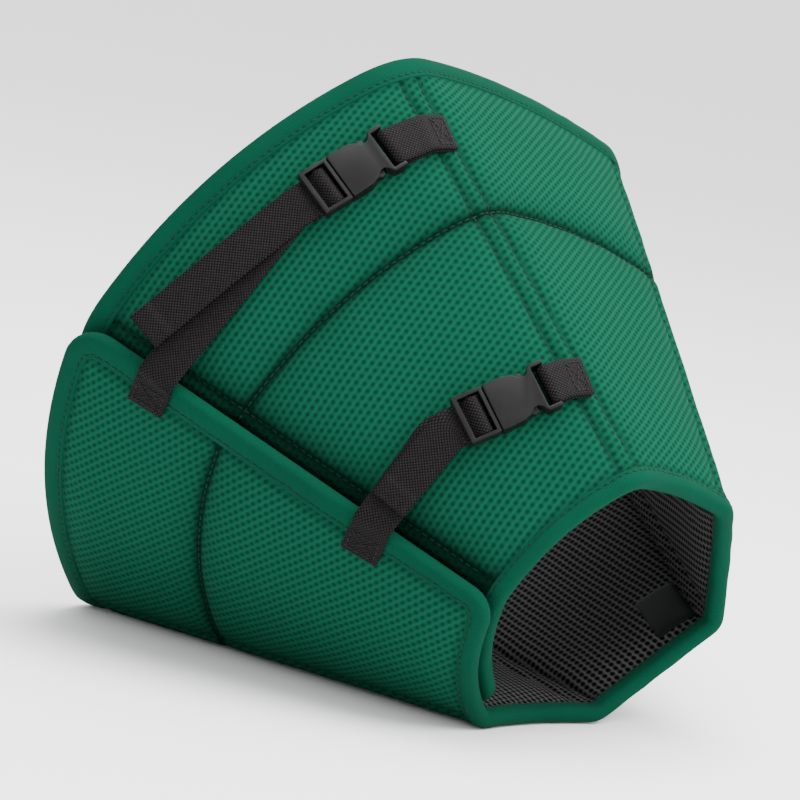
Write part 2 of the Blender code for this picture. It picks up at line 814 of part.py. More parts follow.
def centre_on_floor(parts):
    """Hangs every piece on an empty and centres the collar's box over the origin."""
    bpy.context.view_layer.update()
    graph = bpy.context.evaluated_depsgraph_get()
    low = Vector((1e9, 1e9, 1e9))
    high = -low
    for made in parts.objects:
        shape = made.evaluated_get(graph)
        for corner in shape.data.vertices:
            point = shape.matrix_world @ corner.co
            low = Vector(map(min, low, point))
            high = Vector(map(max, high, point))
    shift = Vector((-(low.x + high.x) / 2.0, -(low.y + high.y) / 2.0, 0.0))
    root = bpy.data.objects.new(NAME + "_root", None)
    parts.objects.link(root)
    for group in (parts, bpy.data.collections[NAME + "_cutters"]):
        for made in group.objects:
            if made is not root:
                made.parent = root
    root.location = shift


build()
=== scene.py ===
"""A soft padded recovery collar for a pet, lying on its side on a pale floor.

The quilted sheet, its binding tape, the webbing straps and the buckles are rebuilt finely over the
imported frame, each from its own sizes. Lengths are in metres and +Z is up.
"""

import logging
import math
from dataclasses import dataclass, field
from enum import Enum

import bmesh
import bpy
import numpy as np
from mathutils import Matrix, Vector


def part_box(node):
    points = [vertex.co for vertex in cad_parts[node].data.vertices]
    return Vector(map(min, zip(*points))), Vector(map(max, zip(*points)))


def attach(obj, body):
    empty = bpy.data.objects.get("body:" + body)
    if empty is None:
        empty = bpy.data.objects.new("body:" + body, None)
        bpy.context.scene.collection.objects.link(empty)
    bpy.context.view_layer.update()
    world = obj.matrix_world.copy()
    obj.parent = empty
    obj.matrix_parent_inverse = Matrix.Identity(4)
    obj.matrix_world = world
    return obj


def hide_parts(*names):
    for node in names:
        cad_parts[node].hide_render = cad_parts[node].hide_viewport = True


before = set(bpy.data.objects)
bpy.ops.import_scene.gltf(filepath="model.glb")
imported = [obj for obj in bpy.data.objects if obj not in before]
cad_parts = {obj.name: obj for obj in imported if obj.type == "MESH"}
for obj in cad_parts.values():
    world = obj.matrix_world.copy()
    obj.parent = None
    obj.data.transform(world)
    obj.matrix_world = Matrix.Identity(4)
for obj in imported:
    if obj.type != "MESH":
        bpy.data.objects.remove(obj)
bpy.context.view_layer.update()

log = logging.getLogger("recovery_collar")
ROOT = "root"
MM = 0.001


class Skin(Enum):
    """The two faces of the padded sheet."""

    OUTER = 1
    INNER = -1


# Shader expressions


class Value:
    """A shader socket that takes part in arithmetic by adding Math nodes."""

    def __init__(self, look: "Look", socket: bpy.types.NodeSocket) -> None:
        """Keeps the socket and the look that owns it."""
        self.look = look
        self.socket = socket

    def math(self, operation: str, *others: "Value | float") -> "Value":
        """Adds one Math node.

        Args:
            operation: the Math node's operation.
            others: the values of its second and third sockets.

        Returns:
            The node's result.
        """
        inputs = {0: self}
        inputs.update({index + 1: other for index, other in enumerate(others)})
        return self.look.node("ShaderNodeMath", {"operation": operation}, inputs)

    def __add__(self, other: "Value | float") -> "Value":
        """Adds."""
        return self.math("ADD", other)

    def __radd__(self, other: "Value | float") -> "Value":
        """Adds."""
        return self.math("ADD", other)

    def __sub__(self, other: "Value | float") -> "Value":
        """Subtracts."""
        return self.math("SUBTRACT", other)

    def __rsub__(self, other: float) -> "Value":
        """Subtracts this from a number."""
        return (self * -1.0) + other

    def __mul__(self, other: "Value | float") -> "Value":
        """Multiplies."""
        return self.math("MULTIPLY", other)

    def __rmul__(self, other: "Value | float") -> "Value":
        """Multiplies."""
        return self.math("MULTIPLY", other)

    def __truediv__(self, other: "Value | float") -> "Value":
        """Divides."""
        return self.math("DIVIDE", other)

    def fract(self) -> "Value":
        """The part after the point."""
        return self.math("FRACT")

    def wave(self) -> "Value":
        """A sine from 0 to 1, one period for each whole number."""
        return (self * (2.0 * math.pi)).math("SINE") * 0.5 + 0.5

    def least(self, other: "Value | float") -> "Value":
        """The smaller of two."""
        return self.math("MINIMUM", other)

    def most(self, other: "Value | float") -> "Value":
        """The larger of two."""
        return self.math("MAXIMUM", other)

    def root(self) -> "Value":
        """The square root."""
        return self.math("SQRT")

    def ease(self, low: float, high: float) -> "Value":
        """A smooth step from 0 at low to 1 at high."""
        return self.look.node(
            "ShaderNodeMapRange",
            {"interpolation_type": "SMOOTHSTEP"},
            {0: self, 1: low, 2: high, 3: 0.0, 4: 1.0},
        )


class Look:
    """One material while its nodes are being added."""

    def __init__(self, name: str) -> None:
        """Starts a material with its Principled shader.

        Args:
            name: the material's name.
        """
        self.material = bpy.data.materials.new(name)
        self.material.use_nodes = True
        self.nodes = self.material.node_tree.nodes
        self.links = self.material.node_tree.links
        self.shader = self.nodes["Principled BSDF"]

    def node(self, kind: str, settings: dict, sockets: dict, output: int | str = 0) -> Value:
        """Adds any node.

        Args:
            kind: the node's type.
            settings: its properties, which are set first.
            sockets: values or links for its inputs, by name or number.
            output: the output to hand back.

        Returns:
            The chosen output.
        """
        made = self.nodes.new(kind)
        for key, setting in settings.items():
            setattr(made, key, setting)
        for key, value in sockets.items():
            if isinstance(value, Value):
                self.links.new(value.socket, made.inputs[key])
            else:
                made.inputs[key].default_value = value
        return Value(self, made.outputs[output])

    def pattern(self, name: str = "pattern") -> tuple:
        """The flat pattern's two directions in metres.

        Args:
            name: the UV layer.

        Returns:
            The values along the layer's two axes.
        """
        layer = self.node("ShaderNodeUVMap", {"uv_map": name}, {})
        across = self.node("ShaderNodeSeparateXYZ", {}, {0: layer}, 0)
        return across, Value(self, across.socket.node.outputs[1])

    def place(self) -> Value:
        """The place on the object in metres."""
        return self.node("ShaderNodeTexCoord", {}, {}, "Object")

    def noise(self, scale: float, detail: float = 2.0, roughness: float = 0.5) -> Value:
        """A soft cloud of values over the object.

        Args:
            scale: how many clouds fit in a metre.
            detail: how many finer layers it has.
            roughness: how strong the finer layers are.

        Returns:
            A value about 0.5.
        """
        return self.node(
            "ShaderNodeTexNoise",
            {},
            {"Vector": self.place(), "Scale": scale, "Detail": detail, "Roughness": roughness},
            0,
        )

    def blend(self, share: Value, low: tuple, high: tuple) -> Value:
        """Mixes two colours.

        Args:
            share: 0 for the first colour, 1 for the second.
            low: the first colour or a link.
            high: the second colour or a link.

        Returns:
            The mixed colour.
        """
        first = low if isinstance(low, Value) else (*low, 1.0)
        second = high if isinstance(high, Value) else (*high, 1.0)
        return self.node("ShaderNodeMix", {"data_type": "RGBA"}, {0: share, 6: first, 7: second}, 2)

    def feed(self, socket: str, value: "Value | float | tuple") -> None:
        """Sets or links one socket of the shader."""
        if isinstance(value, Value):
            self.links.new(value.socket, self.shader.inputs[socket])
        else:
            self.shader.inputs[socket].default_value = value

    def relief(self, height: Value, depth: float, strength: float = 1.0) -> None:
        """Feeds a height through a Bump node to the normal.

        Args:
            height: the height, from 0 to 1.
            depth: how many metres 1 stands for.
            strength: the Bump node's strength.
        """
        bump = self.node(
            "ShaderNodeBump", {}, {"Strength": strength, "Distance": depth, "Height": height}
        )
        self.feed("Normal", bump)


@dataclass(frozen=True)
class AirMesh:
    """Spacer mesh with rows of staggered holes and fine ribs between them, and painted shade in its seams."""

    name: str
    colour: tuple
    hole_colour: tuple
    pitch: float = 3.0 * MM
    hole: float = 0.85 * MM
    turn: float = -28.0
    roughness: float = 0.9
    hole_share: float = 0.42
    rib_share: float = 0.30

    def make(self) -> bpy.types.Material:
        """Makes the material."""
        look = Look(self.name)
        across, along = look.pattern()
        angle = math.radians(self.turn)
        x = across * math.cos(angle) + along * math.sin(angle)
        y = along * math.cos(angle) - across * math.sin(angle)
        row = self.pitch * 0.5 * math.sqrt(3.0)
        wobble = look.noise(60.0) * 0.16 - 0.08
        a = x / self.pitch + wobble
        b = y / (2.0 * row) + wobble
        holes = []
        for shift in (0.0, 0.5):
            u = ((a + shift).fract() - 0.5) * self.pitch
            v = ((b + shift).fract() - 0.5) * (2.0 * row)
            holes.append(u * u + v * v)
        distance = holes[0].least(holes[1]).root()
        hole = 1.0 - distance.ease(self.hole * 0.35, self.hole * 1.45)
        rib = (b * 2.0 + 0.75).wave()
        knit = (x / (0.55 * MM)).wave() * (y / (0.55 * MM)).wave()
        cloud = look.noise(9.0, 3.0)
        shade = hole * self.hole_share + (1.0 - rib) * self.rib_share + (1.0 - knit) * 0.14
        patchy = shade + (cloud - 0.5) * 0.16
        cloth = look.blend(patchy.most(0.0).least(1.0), self.colour, self.hole_colour)
        # Painted shade: the cloth is darkened toward this colour in the seams and under the flap's edge.
        painted_seam_shade = tuple(0.4 * tone for tone in self.hole_colour)
        look.feed("Base Color", look.blend(look.pattern("shade")[0], cloth, painted_seam_shade))
        look.feed("Roughness", self.roughness)
        look.feed("Specular IOR Level", 0.02)
        look.relief((1.0 - hole) * 0.5 + rib * 0.4 + knit * 0.10, 0.34 * MM)
        return look.material


@dataclass(frozen=True)
class SmoothTape:
    """Plain woven tape with a faint crosswise rib."""

    name: str
    colour: tuple
    dark: tuple

    def make(self) -> bpy.types.Material:
        """Makes the material."""
        look = Look(self.name)
        across, along = look.pattern()
        rib = (along / (0.9 * MM)).wave()
        weave = (across / (0.7 * MM)).wave()
        cloud = look.noise(22.0, 3.0)
        share = (1.0 - rib) * 0.25 + (1.0 - weave) * 0.12 + (cloud - 0.45) * 0.8
        look.feed("Base Color", look.blend(share.most(0.0).least(1.0), self.colour, self.dark))
        look.feed("Roughness", 0.8)
        look.feed("Specular IOR Level", 0.03)
        look.relief(rib * 0.6 + weave * 0.4, 0.12 * MM)
        return look.material


@dataclass(frozen=True)
class FlatWebbing:
    """Black flat webbing: a plain weave of thick yarns with a firm edge."""

    name: str = "black_webbing"
    colour: tuple = (0.0010, 0.0009, 0.0010)
    light: tuple = (0.0230, 0.0195, 0.0205)
    yarn: float = 1.4 * MM

    def make(self) -> bpy.types.Material:
        """Makes the material."""
        look = Look(self.name)
        across, along = look.pattern()
        a = across / self.yarn
        b = along / self.yarn
        chevron = (a + b).wave() * (a - b).wave()
        ribs = (a * 2.0).wave()
        fuzz = look.noise(900.0, 2.0)
        share = chevron * 0.75 + (fuzz - 0.5) * 0.35
        look.feed("Base Color", look.blend(share.most(0.0).least(1.0), self.colour, self.light))
        look.feed("Roughness", 0.6)
        look.feed("Specular IOR Level", 0.07)
        look.relief(chevron * 0.75 + ribs * 0.25, 0.22 * MM)
        return look.material


@dataclass(frozen=True)
class MouldedPlastic:
    """Matte moulded nylon with a fine spark-eroded grain."""

    name: str = "moulded_plastic"
    colour: tuple = (0.0036, 0.0036, 0.0037)
    worn: tuple = (0.0058, 0.0057, 0.0057)

    def make(self) -> bpy.types.Material:
        """Makes the material."""
        look = Look(self.name)
        grain = look.noise(2600.0, 1.0)
        cloud = look.noise(130.0, 2.0)
        look.feed("Base Color", look.blend(cloud.ease(0.35, 0.8), self.colour, self.worn))
        look.feed("Roughness", grain * 0.12 + 0.34)
        look.feed("Specular IOR Level", 0.16)
        look.relief(grain, 0.04 * MM)
        return look.material


@dataclass(frozen=True)
class Thread:
    """Twisted sewing thread."""

    name: str
    colour: tuple
    light: tuple

    def make(self) -> bpy.types.Material:
        """Makes the material."""
        look = Look(self.name)
        twist = look.noise(1500.0, 1.0)
        look.feed("Base Color", look.blend(twist, self.colour, self.light))
        look.feed("Roughness", 0.6)
        look.feed("Specular IOR Level", 0.15)
        look.relief(twist, 0.08 * MM)
        return look.material


@dataclass(frozen=True)
class PlainPatch:
    """A smooth plain cloth patch with nothing on it."""

    name: str = "plain_patch"
    colour: tuple = (0.0016, 0.0034, 0.0028)
    light: tuple = (0.0030, 0.0058, 0.0048)

    def make(self) -> bpy.types.Material:
        """Makes the material."""
        look = Look(self.name)
        across, along = look.pattern()
        weave = (across / (0.45 * MM)).wave() * (along / (0.45 * MM)).wave()
        cloud = look.noise(120.0, 2.0)
        look.feed("Base Color", look.blend((weave * 0.5 + cloud * 0.5), self.colour, self.light))
        look.feed("Roughness", 0.7)
        look.feed("Specular IOR Level", 0.10)
        look.relief(weave, 0.08 * MM)
        return look.material


# The rolled cone


@dataclass(frozen=True)
class Corner:
    """One edge of the six-sided cone."""

    turn: float
    reach: float
    softness: float


@dataclass(frozen=True)
class Panel:
    """One panel: its corners, how far it domes, and how far its layer stands off the cone."""

    first: int
    last: int
    bow: float
    layer_start: float
    layer_middle: float
    layer_end: float


@dataclass
class RolledCone:
    """The surface that the sheet is rolled on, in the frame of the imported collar."""

    rim_radius: float = 0.140
    neck_share: float = 0.431
    depth: float = 1.183 * 0.140
    middle_seam: float = 0.367
    rim_sag: float = 0.056 * 0.140
    slant: float = 0.1835
    start: float = 0.03
    floor_half: float = 0.0036
    half_gap: float = 0.00015
    corners: tuple = (
        Corner(turn=3.0, reach=0.92, softness=0.05),
        Corner(turn=-0.9, reach=1.07, softness=0.05),
        Corner(turn=-2.3, reach=0.93, softness=0.06),
        Corner(turn=-1.8, reach=1.01, softness=0.10),
        Corner(turn=1.7, reach=1.03, softness=0.05),
        Corner(turn=0.3, reach=1.02, softness=0.05),
    )
    panels: tuple = (
        Panel(5, 4, 0.055, -0.0090, -0.0058, -0.0045),
        Panel(4, 3, 0.065, -0.0045, -0.0020, 0.0),
        Panel(3, 2, 0.005, 0.0, 0.0, 0.0),
        Panel(2, 1, 0.030, 0.0, 0.0, 0.0),
        Panel(1, 0, 0.040, 0.0, 0.0, 0.0),
        Panel(0, 5, 0.0, 0.0, 0.0, 0.0),
        Panel(5, 4, 0.055, 0.0, 0.0042, 0.0045),
    )
    floor_panel: int = 5
    flap: int = 6
    shift: np.ndarray = field(default_factory=lambda: np.zeros(3))

    def __post_init__(self) -> None:
        """Works out what each panel needs once."""
        angles = np.radians([60.0 * index + row.turn for index, row in enumerate(self.corners)])
        reach = np.array([row.reach for row in self.corners]) * self.rim_radius
        ring = np.stack([reach * np.cos(angles), reach * np.sin(angles), np.zeros(6)], axis=1)
        self.apex = np.array([0.0, 0.0, self.depth / (1.0 - self.neck_share)])
        self.begin = ring[[row.first for row in self.panels]]
        self.finish = ring[[row.last for row in self.panels]]
        edge = self.finish - self.begin
        self.width = np.linalg.norm(edge, axis=1)
        self.outward = unit(np.cross(edge, self.apex - self.begin))
        flip = np.sum(self.outward * (self.begin + self.finish), axis=1) < 0.0
        self.outward[flip] *= -1.0
        self.down = np.cross(self.outward, edge / self.width[:, None])
        flip = np.sum(self.down * (self.apex - self.begin), axis=1) > 0.0
        self.down[flip] *= -1.0
        self.bows = np.array([row.bow for row in self.panels])
        self.layers = np.array([(r.layer_start, r.layer_middle, r.layer_end) for r in self.panels])
        self.soft = np.array([self.corners[row.first].softness for row in self.panels])
        low = ring[self.panels[self.floor_panel].last]
        high = ring[self.panels[self.floor_panel].first]
        middle = (low + high) / 2.0
        forward = unit(self.apex - middle)
        across = high - low
        across = unit(across - forward * np.dot(forward, across))
        self.turn = np.stack([forward, across, np.cross(forward, across)])
        level = self.turn @ middle
        self.lift = np.array([-level[0], -level[1], self.floor_half + self.half_gap - level[2]])

    def panel_at(self, place: np.ndarray) -> tuple:
        """The panel numbers and shares at places along the sheet."""
        number = np.clip(np.floor(place).astype(int), 0, len(self.panels) - 1)
        return number, place - number

    def sharp_rim(self, place: np.ndarray) -> np.ndarray:
        """The rim line with sharp corners.

        Args:
            place: places along the sheet, in panels.

        Returns:
            Points in the cone's own frame.
        """
        number, share = self.panel_at(place)
        swell = (4.0 * share * (1.0 - share))[..., None]
        line = self.begin[number] + (self.finish[number] - self.begin[number]) * share[..., None]
        bow = (self.bows[number] * self.width[number])[..., None]
        return line + (self.outward[number] * bow + self.down[number] * self.rim_sag) * swell

    def rim(self, place: np.ndarray) -> np.ndarray:
        """The rim line with its folds rounded. The sheet's two ends stay flat."""
        place = np.asarray(place, dtype=float)
        nearest = np.clip(np.round(place), 1, len(self.panels) - 1)
        soft = self.soft[nearest.astype(int)]
        share = np.clip((place - nearest + soft) / (2.0 * soft), 0.0, 1.0)[..., None]
        before = self.sharp_rim(nearest - soft)
        middle = self.sharp_rim(nearest)
        after = self.sharp_rim(nearest + soft)
        rounded = before * (1.0 - share) ** 2 + middle * 2.0 * share * (1.0 - share) + after * share ** 2
        near = (np.abs(place - nearest) < soft)[..., None]
        return np.where(near, rounded, self.sharp_rim(place))

    def normal(self, place: np.ndarray) -> np.ndarray:
        """The cone's outward normal at places along the sheet."""
        place = np.asarray(place, dtype=float)
        low = np.maximum(place - 0.0015, 0.0)
        high = np.minimum(place + 0.0015, float(len(self.panels)))
        found = unit(np.cross(self.rim(high) - self.rim(low), self.apex - self.rim(place)))
        facing = np.sum(found * self.outward[self.panel_at(place)[0]], axis=-1, keepdims=True)
        return np.where(facing < 0.0, -found, found)

    def layer(self, place: np.ndarray) -> np.ndarray:
        """How far the sheet's middle stands outside the cone."""
        number, share = self.panel_at(np.asarray(place, dtype=float))
        rows = self.layers[number]
        return (
            rows[..., 0] * (1.0 - share) * (1.0 - 2.0 * share)
            + rows[..., 1] * 4.0 * share * (1.0 - share)
            + rows[..., 2] * share * (2.0 * share - 1.0)
        )

    def panel_width(self, place: np.ndarray, slant: np.ndarray) -> np.ndarray:
        """The width of the panel at each place and slant."""
        return self.width[self.panel_at(place)[0]] * (1.0 - slant * (1.0 - self.neck_share))

    def raw_point(self, place: np.ndarray, slant: np.ndarray, height: np.ndarray) -> np.ndarray:
        """Points at a height outside the cone, in the cone's own frame."""
        place = np.asarray(place, dtype=float)
        scale = (1.0 - np.asarray(slant) * (1.0 - self.neck_share))[..., None]
        raised = self.normal(place) * np.asarray(height)[..., None]
        return self.apex + (self.rim(place) - self.apex) * scale + raised

    def on_cone(self, place: np.ndarray, slant: np.ndarray, height: np.ndarray) -> np.ndarray:
        """Points at a height outside the cone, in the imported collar's frame."""
        return self.placed(self.raw_point(place, slant, height))

    def on_sheet(self, place: np.ndarray, slant: np.ndarray, height: np.ndarray) -> np.ndarray:
        """Points at a height outside the sheet's middle layer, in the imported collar's frame."""
        return self.on_cone(place, slant, self.layer(place) + height)

    def sheet_normal(self, place: np.ndarray, slant: np.ndarray) -> np.ndarray:
        """The sheet's own outward normal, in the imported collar's frame."""
        place = np.asarray(place, dtype=float)
        low = np.maximum(place - 0.004, self.start)
        high = np.minimum(place + 0.004, float(len(self.panels)))
        zero = np.zeros_like(place)
        across = self.on_sheet(high, slant, zero) - self.on_sheet(low, slant, zero)
        generator = (self.apex - self.rim(place)) @ self.turn.T
        found = unit(np.cross(across, generator))
        facing = np.sum(found * (self.normal(place) @ self.turn.T), axis=-1, keepdims=True)
        return np.where(facing < 0.0, -found, found)

    def placed(self, points: np.ndarray) -> np.ndarray:
        """Points of the cone's own frame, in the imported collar's frame."""
        return points @ self.turn.T + self.lift + self.shift

    def flat_pattern(self, place: np.ndarray, slant: np.ndarray) -> np.ndarray:
        """Where each point of the sheet lay when the cloth was flat, in metres.

        Args:
            place: places along the sheet.
            slant: shares of the slant.

        Returns:
            Two coordinates for each point.
        """
        steps = np.linspace(0.0, float(len(self.panels)), 2801)
        rays = unit(self.rim(steps) - self.apex)
        turns = np.concatenate([[0.0], np.cumsum(np.linalg.norm(np.diff(rays, axis=0), axis=1))])
        angle = np.interp(place, steps, turns)
        reach = np.linalg.norm(self.rim(place) - self.apex, axis=-1)
        reach = reach * (1.0 - slant * (1.0 - self.neck_share))
        return np.stack([reach * np.sin(angle), reach * np.cos(angle)], axis=-1)


def unit(vectors: np.ndarray) -> np.ndarray:
    """Vectors of length one."""
    return vectors / np.maximum(np.linalg.norm(vectors, axis=-1, keepdims=True), 1e-12)


# Meshes


def grid_faces(columns: int, rows: int, closed: bool = False) -> np.ndarray:
    """Quads between neighbouring columns of points.

    Args:
        columns: how many columns.
        rows: points in each column.
        closed: whether the last column meets the first.

    Returns:
        Four point numbers for each quad.
    """
    spans = columns if closed else columns - 1
    column, row = np.meshgrid(np.arange(spans), np.arange(rows - 1), indexing="ij")
    here = (column * rows + row).ravel()
    there = (((column + 1) % columns) * rows + row).ravel()
    return np.stack([here, here + 1, there + 1, there], axis=1)


def piece_from(
    name: str,
    points: np.ndarray,
    faces: list,
    finish: bpy.types.Material,
    pattern: np.ndarray | None = None,
    shade: np.ndarray | None = None,
) -> bpy.types.Object:
    """Makes a shown piece that rides with the collar.

    Args:
        name: the piece's name.
        points: its points.
        faces: its faces.
        finish: its material.
        pattern: the flat pattern's place of each point.
        shade: the painted shade at each point, in the seams and under the flap's edge, from 0 to 1.

    Returns:
        The object.
    """
    mesh = bpy.data.meshes.new(name)
    mesh.from_pydata(np.asarray(points).tolist(), [], [list(map(int, face)) for face in faces])
    mesh.update()
    # The shade layer carries painted shade for the cloth's colour.
    painted_shade_pairs = None if shade is None else np.stack([shade, np.zeros_like(shade)], axis=1)
    for label, values in (("pattern", pattern), ("shade", painted_shade_pairs)):
        if values is None:
            continue
        layer = mesh.uv_layers.new(name=label)
        corners = np.empty(len(mesh.loops), dtype=np.int32)
        mesh.loops.foreach_get("vertex_index", corners)
        layer.data.foreach_set("uv", np.asarray(values)[corners].astype(np.float32).ravel())
    mesh.materials.append(finish)
    made = bpy.data.objects.new(name, mesh)
    bpy.context.scene.collection.objects.link(made)
    shape = bmesh.new()
    shape.from_mesh(mesh)
    bmesh.ops.recalc_face_normals(shape, faces=shape.faces)
    shape.to_mesh(mesh)
    shape.free()
    mesh.shade_smooth()
    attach(made, ROOT)
    return made


@dataclass
class QuiltedSheet:
    """The padded sheet: two cloth faces, quilted by the folds and the middle seam."""

    cone: RolledCone
    seam_half: float = 0.0019
    pad_half: float = 0.0050
    pad_rise: float = 0.0052
    channel_half: float = 0.0040
    tape_reach: float = 0.0083
    neck_narrowing: float = 0.30
    rim_corner: float = 0.013
    neck_corner: float = 0.009
    near_steps: tuple = (
        0.0, 0.0008, 0.0016, 0.0023, 0.0029, 0.0035, 0.0042, 0.0050, 0.0062, 0.0080, 0.0105, 0.0140,
    )
    middle_columns: int = 18
    end_steps: tuple = (
        0.0, 0.0004, 0.0013, 0.0026, 0.0042, 0.0060, 0.0078, 0.0088, 0.0098, 0.0112, 0.0132, 0.0160, 0.0200,
    )
    ring_steps: tuple = (0.0, 0.0006, 0.0012, 0.0018, 0.0025, 0.0034, 0.0046, 0.0062, 0.0085, 0.0115)
    edge_steps: tuple = (
        0.0, 0.0022, 0.0045, 0.0065, 0.0078, 0.0086, 0.0094, 0.0104, 0.0118, 0.0136, 0.0160, 0.0190,
    )
    row_step: float = 0.0034

    def rows(self) -> np.ndarray:
        """The shares of the slant at which the sheet has points."""
        slant = self.cone.slant
        ring = self.cone.middle_seam * slant
        edge = np.array(self.edge_steps)
        near = np.array(self.ring_steps)
        before = np.arange(edge[-1] + self.row_step, ring - near[-1] - 0.6 * self.row_step, self.row_step)
        after = np.arange(ring + near[-1] + self.row_step, slant - edge[-1] - 0.6 * self.row_step, self.row_step)
        found = np.concatenate([edge, before, ring - near[::-1], ring + near[1:], after, slant - edge[::-1]])
        return found / slant

    def column(self, anchor: float, offset: float, slant: np.ndarray) -> np.ndarray:
        """A column at a fixed distance from a seam or an end."""
        inside = anchor + 0.5 if offset > 0.0 or anchor < 1.0 else anchor - 0.5
        return anchor + offset / self.cone.panel_width(np.full_like(slant, inside), slant)

    def grid(self) -> tuple:
        """The places and slants of every point, column by column."""
        rows = self.rows()
        last = len(self.cone.panels)
        columns = []
        for step in self.end_steps:
            columns.append(self.trimmed(self.cone.start, step, rows))
        for number in range(last):
            low = columns[-1][0] if number == 0 else None
            if number > 0:
                for step in self.near_steps:
                    columns.append((self.column(float(number), step, rows), rows))
                low = columns[-1][0]
            edge = self.near_steps[-1] if number < last - 1 else self.end_steps[-1]
            high = self.column(number + 1.0, -edge, rows)
            for index in range(1, self.middle_columns + 1):
                share = index / (self.middle_columns + 1)
                columns.append((low + (high - low) * share, rows))
            if number < last - 1:
                for step in self.near_steps[:0:-1]:
                    columns.append((self.column(number + 1.0, -step, rows), rows))
        for step in reversed(self.end_steps):
            columns.append(self.trimmed(float(last), -step, rows))
        return np.array([c[0] for c in columns]), np.array([c[1] for c in columns])

    def trimmed(self, anchor: float, offset: float, rows: np.ndarray) -> tuple:
        """A column near an end of the sheet, shortened by the rounded corners.

        Args:
            anchor: the end of the sheet.
            offset: the signed distance from it.
            rows: the shares of the slant.

        Returns:
            The column's places and slants.
        """
        low = self.cut(abs(offset), self.rim_corner)
        high = self.cut(abs(offset), self.neck_corner)
        slant = np.where(rows < 0.2, low + (0.2 - low) * rows / 0.2, rows)
        slant = np.where(rows > 0.85, 0.85 + (0.15 - high) * (rows - 0.85) / 0.15, slant)
        return self.column(anchor, offset, slant), slant

    def cut(self, distance: float, radius: float) -> float:
        """The share of the slant that a rounded corner takes away."""
        if distance >= radius:
            return 0.0
        return (radius - math.sqrt(radius ** 2 - (radius - distance) ** 2)) / self.cone.slant

    def tape_share(self, slant: np.ndarray) -> np.ndarray:
        """The tape's seen width as a share of its width at the rim: less toward the neck."""
        share = np.clip((np.asarray(slant) - 0.6) / 0.3, 0.0, 1.0)
        return 1.0 - self.neck_narrowing * share * share * (3.0 - 2.0 * share)

    def rise(self, distance: np.ndarray) -> np.ndarray:
        """From 0 at a stitched line to 1 out in the pad."""
        return 1.0 - np.exp(-np.maximum(distance, 0.0) / self.pad_rise)

    def thickness(self, place: np.ndarray, slant: np.ndarray, skin: Skin) -> np.ndarray:
        """Half of the sheet's thickness, with its seams, pads and puckers.

        Args:
            place: places along the sheet.
            slant: shares of the slant.
            skin: which face.

        Returns:
            Heights above the sheet's middle.
        """
        cone = self.cone
        width = cone.panel_width(place, slant)
        last = float(len(cone.panels))
        ends = np.minimum((place - cone.start) * width, (last - place) * width)
        edges = np.minimum(slant, 1.0 - slant) * cone.slant
        from_tape = np.minimum(ends, edges) - self.tape_reach * self.tape_share(slant)
        nearest = np.clip(np.round(place), 1, last - 1)
        fold = np.abs(place - nearest) * width
        ring = np.abs(slant - cone.middle_seam) * cone.slant
        from_ring = ring - 0.0008
        puff = self.rise(from_tape) * self.rise(fold - self.channel_half) * self.rise(from_ring)
        along = slant * cone.slant
        around = place * 0.11
        pucker = np.sin(along / 0.0041 + 2.0 * np.sin(nearest * 7.3 + along / 0.017)) * np.exp(
            -np.abs(fold - 0.006) / 0.005
        )
        pucker += 1.3 * np.sin(around / 0.0043 + 2.2 * np.sin(around / 0.021)) * np.exp(
            -np.abs(ring - 0.0055) / 0.0055
        )
        soft = np.sin(around / 0.013 + 3.0 * slant + nearest) * np.sin(along / 0.016 + 1.7 * nearest)
        ridge = 0.0009 * np.exp(-((fold / 0.0022) ** 2)) * self.rise(from_tape)
        ridge -= 0.0005 * np.exp(-(((fold - self.channel_half) / 0.0010) ** 2))
        ridge -= 0.0010 * np.exp(-((ring / 0.0020) ** 2))
        found = self.seam_half + (self.pad_half - self.seam_half) * puff
        found = found + 0.0008 * np.exp(-((from_tape / 0.0030) ** 2))
        found = found + ridge + 0.00022 * pucker * self.rise(from_tape) + 0.00030 * soft * puff
        if skin is Skin.OUTER:
            floor = (place > cone.floor_panel) & (place < cone.floor_panel + 1.0)
            blend = np.clip((fold - 0.001) / 0.006, 0.0, 1.0) * np.clip((from_tape + 0.0005) / 0.004, 0.0, 1.0)
            groove = 0.0010 * np.exp(-((ring / 0.0022) ** 2))
            flat = cone.floor_half - groove
            pressed = found + (flat - found) * blend * blend * (3.0 - 2.0 * blend)
            found = np.where(floor, np.minimum(pressed, cone.floor_half), found)
        return found

    def build(self, skin: Skin, name: str, finish: bpy.types.Material) -> bpy.types.Object:
        """Builds one closed face of the padded sheet.

        Args:
            skin: which face.
            name: the piece's name.
            finish: its cloth.

        Returns:
            The object.
        """
        place, slant = self.grid()
        side = float(skin.value)
        outer = self.cone.on_sheet(place, slant, side * (self.cone.half_gap + self.thickness(place, slant, skin)))
        inner = self.cone.on_sheet(place, slant, np.full_like(place, side * self.cone.half_gap))
        columns, rows = place.shape
        points = np.concatenate([outer.reshape(-1, 3), inner.reshape(-1, 3)])
        count = columns * rows
        faces = grid_faces(columns, rows)
        number = np.arange(count).reshape(columns, rows)
        loop = np.concatenate([number[:, 0], number[-1, 1:], number[-2::-1, -1], number[0, -2:0:-1]])
        after = np.roll(loop, -1)
        wall = np.stack([loop, after, after + count, loop + count], axis=1)
        every = np.concatenate([faces, faces[:, ::-1] + count, wall])
        pattern = np.tile(self.cone.flat_pattern(place, slant).reshape(-1, 2), (2, 1))
        shade = np.tile(self.shade(place, slant, skin).ravel(), 2)
        return piece_from(name, points, every, finish, pattern, shade)

